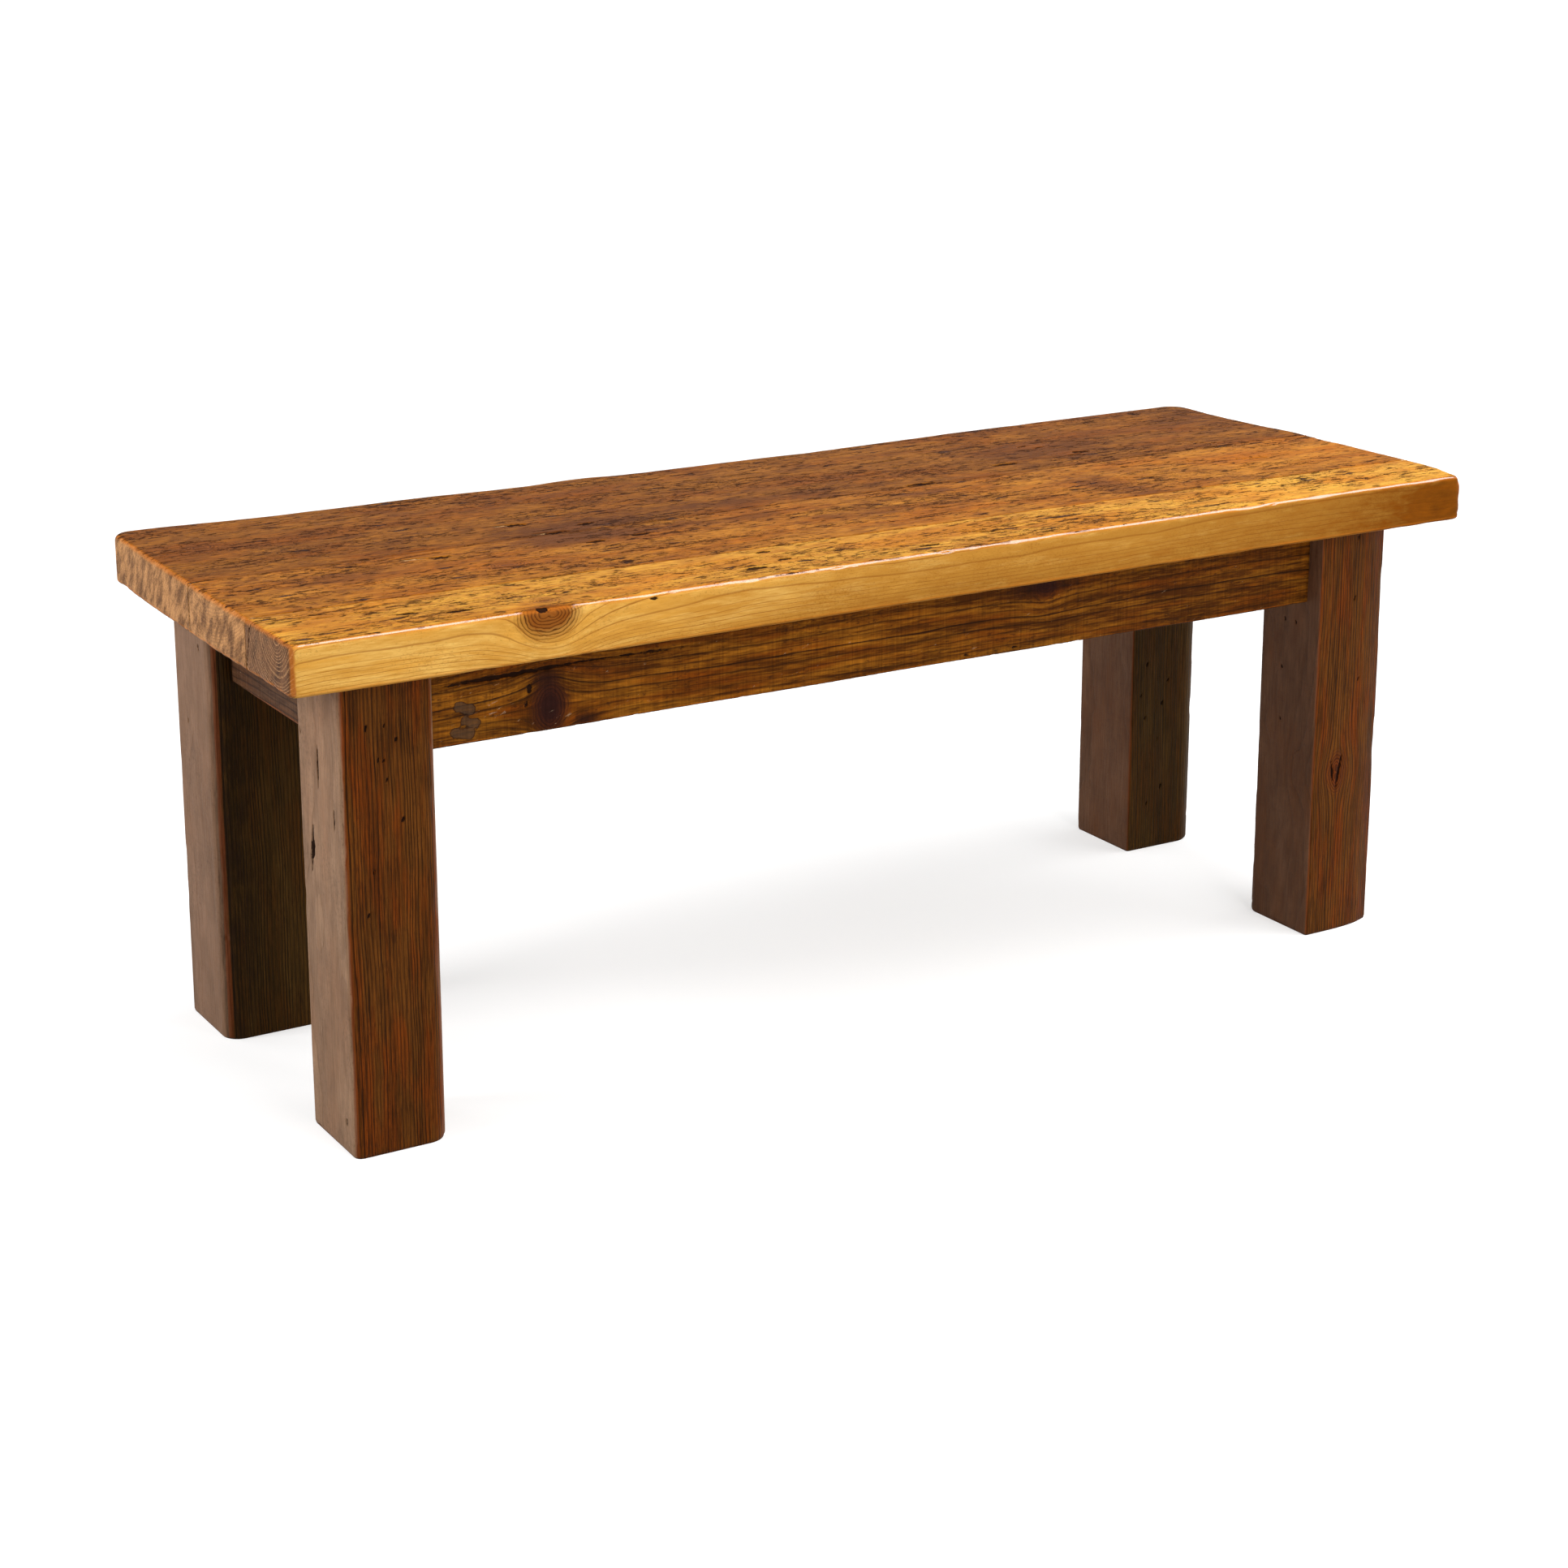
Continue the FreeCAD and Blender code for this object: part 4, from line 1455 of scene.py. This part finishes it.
@dataclass(frozen=True)
class BareTimber:
    """Finish of the small unvarnished pieces: straight-grained beech."""

    grain: Axis
    pale: Colour = tint(206, 164, 112)
    deep: Colour = tint(176, 130, 82)
    fleck: Colour = tint(140, 96, 60)
    streak_size: Pair = (60.0, 2.2)
    fleck_size: Pair = (15.0, 0.55)

    def _cells(self, size: Pair) -> Triple:
        """Scale for noise whose cells have a size along and across the grain."""
        return tuple(1 / size[0 if axis is self.grain else 1] for axis in Axis)

    def dress(self, piece: bpy.types.Object) -> None:
        """Gives a piece this finish."""
        graph = Graph.on(piece)
        place = graph.place()
        streak = graph.noise(place * self._cells(self.streak_size), 3.0, 0.6)
        fleck = graph.noise(place * self._cells(self.fleck_size) + (3.1, 5.2, 1.7), 2.0)
        colour = graph.mix(graph.step(streak, 0.3, 0.7), self.pale, self.deep)
        colour = graph.mix(graph.step(fleck, 0.62, 0.72) * 0.6, colour, self.fleck)
        bump = graph.node("ShaderNodeBump", {}, {"Height": streak, "Strength": 0.4, "Distance": MM})
        inputs = {"Base Color": colour, "Roughness": streak * 0.2 + 0.5, "Normal": bump}
        graph.surface(graph.node("ShaderNodeBsdfPrincipled", {}, inputs))


# Sub-assemblies

@dataclass
class Plan:
    """How one worn timber is made: the node that it stands for, its shape, its marks and its finish."""

    node: str
    shape: Callable[[Grainfield], Skin]
    marks: Marks
    finish: Timber


def shape_all(plans: Sequence[Plan], seed: int) -> list[tuple[Skin, str, Timber]]:
    """Makes the timbers of one sub-assembly.

    Args:
        plans: the timbers.
        seed: seed of the first one's wear. Each next one takes the next number.

    Returns:
        Each timber's skin, the node that it stands for and its finish.
    """
    made = []
    for index, plan in enumerate(plans):
        noise = Grainfield(seed + index)
        skin = plan.shape(noise)
        plan.marks.apply(skin, plan.finish.grain, noise)
        made.append((skin, plan.node, plan.finish))
    return made


@dataclass
class Seating:
    """The seat's boards with their marks and finishes."""

    seat: Seat = field(default_factory=Seat)
    outer_rows: int = 64
    inner_rows: int = 84
    seed: int = 11

    def build(self) -> list[tuple[Skin, str, Timber]]:
        """The skins, nodes and finishes of the three boards."""
        seat = self.seat
        front = partial(seat.board, seat.front_edge, seat.front_joint_line, -1, self.outer_rows)
        middle = partial(seat.board, seat.front_joint_line, seat.rear_joint_line, 0, self.inner_rows)
        rear = partial(seat.board, seat.rear_joint_line, seat.rear_edge, 1, self.inner_rows)
        front_looks = {"flat": FRONT_FLAT, "end": FRONT_END, "stain": tint(108, 55, 4)}
        front_wood = SEAT_WOOD.cut((-191.0, 463.0), spacing=3.2, **front_looks)
        rear_wood = SEAT_WOOD.cut((330.0, 250.0), flat=REAR_FLAT, side=REAR_EDGE)
        return shape_all([
            Plan("seat_board_front", front, self.front_marks(), front_wood),
            Plan("seat_board_middle", middle, self.middle_marks(), SEAT_WOOD),
            Plan("seat_board_rear", rear, self.rear_marks(), rear_wood),
        ], self.seed)

    @staticmethod
    def front_marks() -> Marks:
        """Marks of the front board."""
        return Marks(
            knots=[
                Knot(Axis.Y, (-386, -221, 453), 22, 15, 20, 3),
                Knot(Axis.Z, (-376, -197, 458), 6, 4, 26),
            ],
            slots=cuts(
                Side.TOP,
                (-393, -218.5, -388, -218, 5, 0.9), (-145, -144, -132, -144, 6, 1.5),
                (-141, -175, -129, -174, 5.5, 1.5), (-178, -190, -164, -190, 8, 1.8),
                (-8, -196, 12, -196, 5, 1.4), (-462, -190, -438, -190, 5, 1.4),
                (-500, -176, -484, -176, 4.5, 1.4), (52, -166, 91, -189, 2.6, 1.4),
                (-604, -209, -420, -212, 1.3, 0.5), (-600, -152, -462, -158, 1.2, 0.5),
                (-470, -168, -340, -164, 1.2, 0.5),
            ) + cuts(Side.FRONT, (-291, 453, -286, 453, 3.5, 1.2))
            + cuts(Side.LEFT, (-137, 459, -126, 418, 1.5, 0.8)),
            stains_and_shade=clouds(
                Side.FRONT,
                (596, 434, 30, 12, 1.6), (760, 436, 360, 200, 1.6), (300, 440, 140, 60, 0.16),
                (0, 414, 420, 20, 0.3), (20, 440, 260, 60, 0.42),
            ) + clouds(Side.TOP, (312, -150, 40, 10, 0.6), (450, -170, 200, 60, -0.45)),
        )

    @staticmethod
    def middle_marks() -> Marks:
        """Marks of the middle board."""
        return Marks(
            knots=[Knot(Axis.Z, (-350, -71, 458), 13, 7, 14)],
            slots=cuts(
                Side.TOP,
                (-254, -33, -236, -33, 6, 1.8), (-206, -29, -188, -29, 6, 1.8),
                (-398, -15, -379, -18, 6.5, 2.4), (464, -50, 500, -58, 2, 1.2),
            ) + cuts(Side.LEFT, (7, 459, 7.6, 416, 1.4, 0.8)),
            chips=cuts(Side.TOP, (-424, -10, -400, -14, 3.5, 1)),
            stains_and_shade=clouds(
                Side.TOP,
                (-250, -8, 60, 22, 1.2), (30, -60, 90, 16, 0.35), (100, -20, 70, 10, 0.4),
                (-120, -20, 120, 12, 0.4), (-480, -40, 90, 16, 0.35), (290, -95, 30, 60, 0.5, -1.2),
                (520, -60, 120, 60, -0.4), (-80, -90, 140, 24, -0.1),
            ),
        )

    @staticmethod
    def rear_marks() -> Marks:
        """Marks of the rear board."""
        return Marks(
            knots=[
                Knot(Axis.Z, (-553, 122, 458), 9, 5, 9),
                Knot(Axis.Z, (324, 104, 458), 17, 9, 16),
                Knot(Axis.Z, (340, 60, 458), 17, 8, 16),
            ],
            slots=cuts(
                Side.TOP,
                (-284, 60, -273, 58, 6.5, 2.4), (-230, 31, -214, 31, 7, 2.4),
                (-274, 15, -248, 14, 6.5, 2.4), (114, 15, 146, 15, 6, 1.8), (238, 48, 264, 47, 6.5, 1.8),
                (464, 50, 506, 12, 1.6, 1.2), (346, 61, 356, 57, 7, 1.6), (308, 108, 322, 110, 3, 1),
                (318, 96, 336, 98, 2.6, 1), (330, 52, 348, 51, 2.6, 1),
            ),
            chips=cuts(Side.TOP, (-300, 64, -284, 61, 4, 1), (-282, 18, -268, 18, 3, 1)),
            stains_and_shade=clouds(
                Side.TOP,
                (-240, 24, 64, 20, 1), (-60, 40, 150, 14, 0.45), (330, 82, 80, 36, 0.6),
                (560, 150, 60, 60, 0.3),
            ),
        )


@dataclass
class Posts:
    """The four posts with their marks and finishes."""

    front_left: Leg = Leg((-559.0, -192.0), ((0, 0, 0.08), (1, 0, 0.21), (1, 1, 0.05), (0, 1, 0.035)))
    front_right: Leg = Leg(
        (458.0, -192.0),
        ((0, 0, 0.03), (0.45, 0, 0), (0.76, 0.03, 0), (1, 0.11, 0.05), (1, 1, 0.06), (0, 1, 0.14)),
    )
    rear_left: Leg = Leg((-559.0, 101.0), ((0, 0, 0.19), (1, 0, 0.05), (1, 1, 0.07), (0, 1, 0.05)))
    rear_right: Leg = Leg(
        (458.0, 101.0), ((0, 0, 0.03), (0.86, 0, 0), (1, 0.09, 0.08), (1, 1, 0.07), (0, 1, 0.05))
    )
    seed: int = 31

    def build(self) -> list[tuple[Skin, str, Timber]]:
        """The skins, nodes and finishes of the four posts."""
        # The right posts' side faces take painted shade over the painted sheen, and the rear posts' front and
        # back faces take painted shade.
        front_right_wood = LEG_WOOD.cut((60.0, -120.0), side=LEG_SIDE_PAINTED_SHEEN_AND_SHADE)
        rear_left_wood = LEG_WOOD.cut((-1000.0, 130.0), flat=SHADE_FLAT, side=REAR_LEG_SIDE_PAINTED_SHEEN)
        rear_right_wood = LEG_WOOD.cut((20.0, 160.0), flat=SHADE_FLAT, side=LEG_SIDE_PAINTED_SHEEN_AND_SHADE)
        return shape_all([
            Plan("front_left_leg", self.front_left.build, self.front_left_marks(), LEG_WOOD),
            Plan("front_right_leg", self.front_right.build, self.front_right_marks(), front_right_wood),
            Plan("rear_left_leg", self.rear_left.build, self.rear_left_marks(), rear_left_wood),
            Plan("rear_right_leg", self.rear_right.build, self.rear_right_marks(), rear_right_wood),
        ], self.seed)

    @staticmethod
    def front_left_marks() -> Marks:
        """Marks of the front left post."""
        front = holes(
            Side.FRONT, (-537, 372, 3.4), (-521, 372, 2.6), (-511, 359, 2.6), (-527, 344, 2.6),
            (-522, 343, 2.4), (-520, 326, 2.6), (-507, 290, 3), (-534, 249, 2.6), (-540, 213, 2.4),
        )
        left = holes(Side.LEFT, (-106, 352, 3), (-173, 27, 4))
        return Marks(slots=front + left + cuts(
            Side.LEFT, (-141, 347, -141, 312, 3, 2.4), (-126, 275, -120, 233, 3, 2),
            (-125, 258, -123, 248, 7, 3), (-172, 301, -172, 284, 2.2, 1.6),
        ))

    @staticmethod
    def front_right_marks() -> Marks:
        """Marks of the front right post."""
        front = holes(Side.FRONT, (503, 401, 3.4), (502, 341, 3.4), (512, 258, 2.6))
        left = holes(Side.LEFT, (-140, 315, 2.4), (-156, 315, 2.4), (-138, 266, 2.4), (-139, 212, 2.4))
        torn = cuts(Side.FRONT, (494, 182, 488, 150, 3, 2.6), (481, 178, 484, 158, 2.6, 2.2))
        return Marks(knots=[Knot(Axis.Y, (488, -192, 166), 15, 7, 12, 30)], slots=front + left + torn)

    @staticmethod
    def rear_left_marks() -> Marks:
        """Marks of the rear left post, with painted shade down the left of its front face."""
        left = holes(Side.LEFT, (130, 366, 3.4), (164, 289, 3))
        # Painted shade: a dark cloud down the left of the front face, where the front left post shades it.
        return Marks(slots=left, stains_and_shade=clouds(Side.FRONT, (-556, 200, 30, 400, 0.6)))

    @staticmethod
    def rear_right_marks() -> Marks:
        """Marks of the rear right post."""
        return Marks(slots=holes(
            Side.FRONT, (478, 206, 3), (471, 173, 2.4), (499, 161, 3), (506, 185, 2.6), (477, 147, 2.4),
            (494, 121, 2.4), (500, 67, 3.4), (482, 51, 2.4),
        ))


@dataclass
class Rails:
    """The four aprons with their marks and finishes."""

    front: Apron = Apron(Axis.X, (-473.0, 459.0), (-172.0, -147.0))
    rear: Apron = Apron(Axis.X, (-473.0, 459.0), (148.0, 173.0))
    left: Apron = Apron(Axis.Y, (-101.0, 102.0), (-539.0, -514.0))
    right: Apron = Apron(Axis.Y, (-101.0, 102.0), (500.0, 525.0))
    seed: int = 51

    def build(self) -> list[tuple[Skin, str, Timber]]:
        """The skins, nodes and finishes of the four aprons."""
        end_wood = replace(APRON_WOOD, grain=Axis.Y)
        # The left apron's broad faces take a tone with painted shade.
        left_wood = end_wood.cut((-560.0, 90.0), side=SHADE_APRON)
        return shape_all([
            Plan("front_apron", self.front.build, self.front_marks(), APRON_WOOD),
            Plan("rear_apron", self.rear.build, Marks(), APRON_WOOD.cut((160.0, 20.0))),
            Plan("left_apron", self.left.build, Marks(), left_wood),
            Plan("right_apron", self.right.build, Marks(), end_wood.cut((540.0, 70.0))),
        ], self.seed)

    @staticmethod
    def front_marks() -> Marks:
        """Marks of the front apron."""
        return Marks(
            knots=[
                Knot(Axis.Y, (-362, -172, 358), 11, 16.5, 18),
                Knot(Axis.Y, (146, -172, 395), 4.5, 2.5, 14),
            ],
            slots=cuts(
                Side.FRONT,
                (-464, 390, -330, 393, 3.6, 2.4), (-340, 393, -222, 392, 2.2, 1.6),
                (-381, 379, -381, 375, 4, 2.4), (-384, 366, -384, 363, 3.4, 2.2),
                (56, 343, 62, 343, 2.6, 1.4), (109, 343, 115, 343, 2.6, 1.4),
            ),
            chips=cuts(
                Side.FRONT,
                (-446, 371, -434, 366, 9, 1), (-440, 358, -430, 355, 8, 1), (-450, 349, -437, 347, 9, 1),
            ),
            stains_and_shade=clouds(
                Side.FRONT,
                (-330, 342, 16, 7, 0.9), (-362, 358, 12, 18, 1.5), (-366, 384, 14, 8, 0.7),
                (140, 396, 34, 7, 0.9), (-300, 386, 60, 12, 0.3), (-345, 348, 7, 9, -0.8),
                (-415, 364, 16, 10, -0.5), (300, 370, 330, 80, 0.3),
            ),
        )


@dataclass
class Fastenings:
    """The hidden tongues, turn buttons and screws, which keep their solids."""

    tongues: Sequence[str] = ("front_joint_tongue", "rear_joint_tongue")
    long_buttons: Sequence[str] = (
        "front_left_button", "front_middle_button", "front_right_button",
        "rear_left_button", "rear_middle_button", "rear_right_button",
    )
    end_buttons: Sequence[str] = ("left_end_button", "right_end_button")
    screws: str = "button_screws"

    def dress(self, nodes: dict[str, bpy.types.Object]) -> None:
        """Gives each fastening its finish.

        Args:
            nodes: the bench's fixed solids by name.
        """
        for name in self.tongues:
            BareTimber(Axis.X).dress(nodes[name])
        for name in self.long_buttons:
            BareTimber(Axis.Y).dress(nodes[name])
        for name in self.end_buttons:
            BareTimber(Axis.X).dress(nodes[name])
        Steel().dress(nodes[self.screws])


@dataclass
class Bench:
    """The whole bench on its one body."""

    body: str = "root"
    seating: Seating = field(default_factory=Seating)
    posts: Posts = field(default_factory=Posts)
    rails: Rails = field(default_factory=Rails)
    fastenings: Fastenings = field(default_factory=Fastenings)

    def build(self, nodes: dict[str, bpy.types.Object]) -> None:
        """Builds and dresses every piece.

        Args:
            nodes: the bench's fixed solids by name.
        """
        timbers = {"seat_wood": self.seating, "leg_wood": self.posts, "apron_wood": self.rails}
        for slot, assembly in timbers.items():
            for skin, node, finish in assembly.build():
                piece = skin.piece(f"{node}_timber")
                finish.dress(piece)
                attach(piece, self.body)
                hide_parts(node)
                log.info("%s: %d points, %d quads", piece.name, len(skin.points), len(skin.quads))
        self.fastenings.dress(nodes)
        log.info("fastenings dressed")


# Studio

@dataclass(frozen=True)
class Lamp:
    """Soft square lamp aimed at a point of the bench."""

    name: str
    place: Triple
    size: float
    watts: float
    aim: Triple = (0.0, 0.0, 250.0)

    def hang(self) -> None:
        """Adds the lamp to the scene."""
        data = bpy.data.lights.new(self.name, "AREA")
        data.shape = "SQUARE"
        data.size = self.size * MM
        data.energy = self.watts
        lamp = bpy.data.objects.new(self.name, data)
        lamp.location = Vector(self.place) * MM
        lamp.rotation_euler = (Vector(self.aim) - Vector(self.place)).to_track_quat("-Z", "Y").to_euler()
        bpy.context.scene.collection.objects.link(lamp)


@dataclass
class Studio:
    """Pale floor, soft lamps, pale surroundings and the camera."""

    lamps: Sequence[Lamp] = (
        Lamp("front_lamp", (300.0, -2900.0, 1500.0), 1600.0, 60.0),
        Lamp("left_lamp", (-2900.0, 300.0, 1700.0), 1500.0, 70.0),
        Lamp("top_lamp", (1400.0, -650.0, 2800.0), 2300.0, 98.0),
        Lamp("rear_lamp", (-2500.0, 2500.0, 1500.0), 1500.0, 30.0),
    )
    horizon: float = 0.1
    zenith: float = 0.4
    floor_colour: float = 0.55
    floor_lift: Pair = (0.55, 0.95)
    floor_fade: Pair = (1.0, 4.5)
    floor_reach: float = 40000.0
    camera_place: Triple = (-1455.3, -2384.2, 1093.6)
    yaw: float = 30.85
    pitch: float = 15.05
    lens: float = 70.37
    sensor: float = 36.0
    rise: float = -0.1035

    def build(self) -> None:
        """Adds the floor, the lamps, the surroundings and the camera."""
        self._lay_floor()
        for lamp in self.lamps:
            lamp.hang()
        self._surround()
        self._place_camera()
        bpy.context.scene.view_settings.view_transform = "Standard"

    @staticmethod
    def _seen(graph: Graph, *rays: str) -> Value:
        """1 for rays of the named kinds, 0 for others."""
        path = graph.node("ShaderNodeLightPath", {}, {}).socket.node
        total = Value(graph, path.outputs[rays[0]])
        for ray in rays[1:]:
            total = graph.maths("MAXIMUM", total, Value(graph, path.outputs[ray]))
        return total

    @staticmethod
    def _either(graph: Graph, amount: Value, first: Value, second: Value) -> Value:
        """The first shader where the amount is 0, and the second where it is 1."""
        inputs = {"Fac": amount, "Shader": first, "Shader_001": second}
        return graph.node("ShaderNodeMixShader", {}, inputs)

    @staticmethod
    def _lifted(graph: Graph, shader: Value, lift: float) -> Value:
        """A shader that also glows white."""
        glow = graph.node("ShaderNodeEmission", {}, {"Color": (1.0, 1.0, 1.0), "Strength": lift})
        return graph.node("ShaderNodeAddShader", {}, {"Shader": shader, "Shader_001": glow})

    def _lay_floor(self) -> None:
        """Adds the floor, which looks white and keeps the bench's shadow."""
        reach = self.floor_reach * MM
        mesh = bpy.data.meshes.new("floor")
        corners = [(-reach, -reach, 0), (reach, -reach, 0), (reach, reach, 0), (-reach, reach, 0)]
        mesh.from_pydata(corners, [], [(0, 1, 2, 3)])
        floor = bpy.data.objects.new("floor", mesh)
        bpy.context.scene.collection.objects.link(floor)
        material = bpy.data.materials.new("floor_paper")
        graph = Graph(material)
        plain = graph.node("ShaderNodeBsdfDiffuse", {}, {"Color": (self.floor_colour,) * 3})
        place = graph.node("ShaderNodeTexCoord", {}, {}, "Object")
        distance = graph.node("ShaderNodeVectorMath", {"operation": "LENGTH"}, {"Vector": place}, "Value")
        near, far = (self._lifted(graph, plain, lift) for lift in self.floor_lift)
        shown = self._either(graph, graph.step(distance, *self.floor_fade), near, far)
        seen = self._seen(graph, "Is Camera Ray", "Is Glossy Ray", "Is Transmission Ray")
        graph.surface(self._either(graph, seen, plain, shown))
        mesh.materials.append(material)

    def _surround(self) -> None:
        """Makes the surroundings white where they are seen and a plain grey where they light the bench."""
        world = bpy.data.worlds.new("surroundings")
        bpy.context.scene.world = world
        graph = Graph(world)
        _, _, rise = graph.parts(graph.node("ShaderNodeTexCoord", {}, {}, "Generated"))
        level = self.horizon + (self.zenith - self.horizon) * graph.step(rise, 0.35, 0.9)
        grey = graph.node("ShaderNodeBackground", {}, {"Color": (1.0, 1.0, 1.0), "Strength": level})
        white = graph.node("ShaderNodeBackground", {}, {"Color": (1.0, 1.0, 1.0), "Strength": 1.0})
        seen = self._seen(graph, "Is Camera Ray", "Is Glossy Ray", "Is Transmission Ray")
        graph.node("ShaderNodeOutputWorld", {}, {"Surface": self._either(graph, seen, grey, white)})

    def _place_camera(self) -> None:
        """Adds the camera at the photograph's viewing angle."""
        data = bpy.data.cameras.new("camera")
        data.lens = self.lens
        data.sensor_width = self.sensor
        data.shift_y = self.rise
        data.clip_end = 200.0
        camera = bpy.data.objects.new("camera", data)
        camera.location = Vector(self.camera_place) * MM
        camera.rotation_euler = Euler((math.radians(90 - self.pitch), 0, -math.radians(self.yaw)))
        bpy.context.scene.collection.objects.link(camera)
        bpy.context.scene.camera = camera


def main() -> None:
    """Builds the studio and the bench."""
    logging.basicConfig(level=logging.INFO, format="%(name)s: %(message)s")
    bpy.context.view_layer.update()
    Studio().build()
    Bench().build(frame["nodes"])


if __name__ == "__main__":
    main()
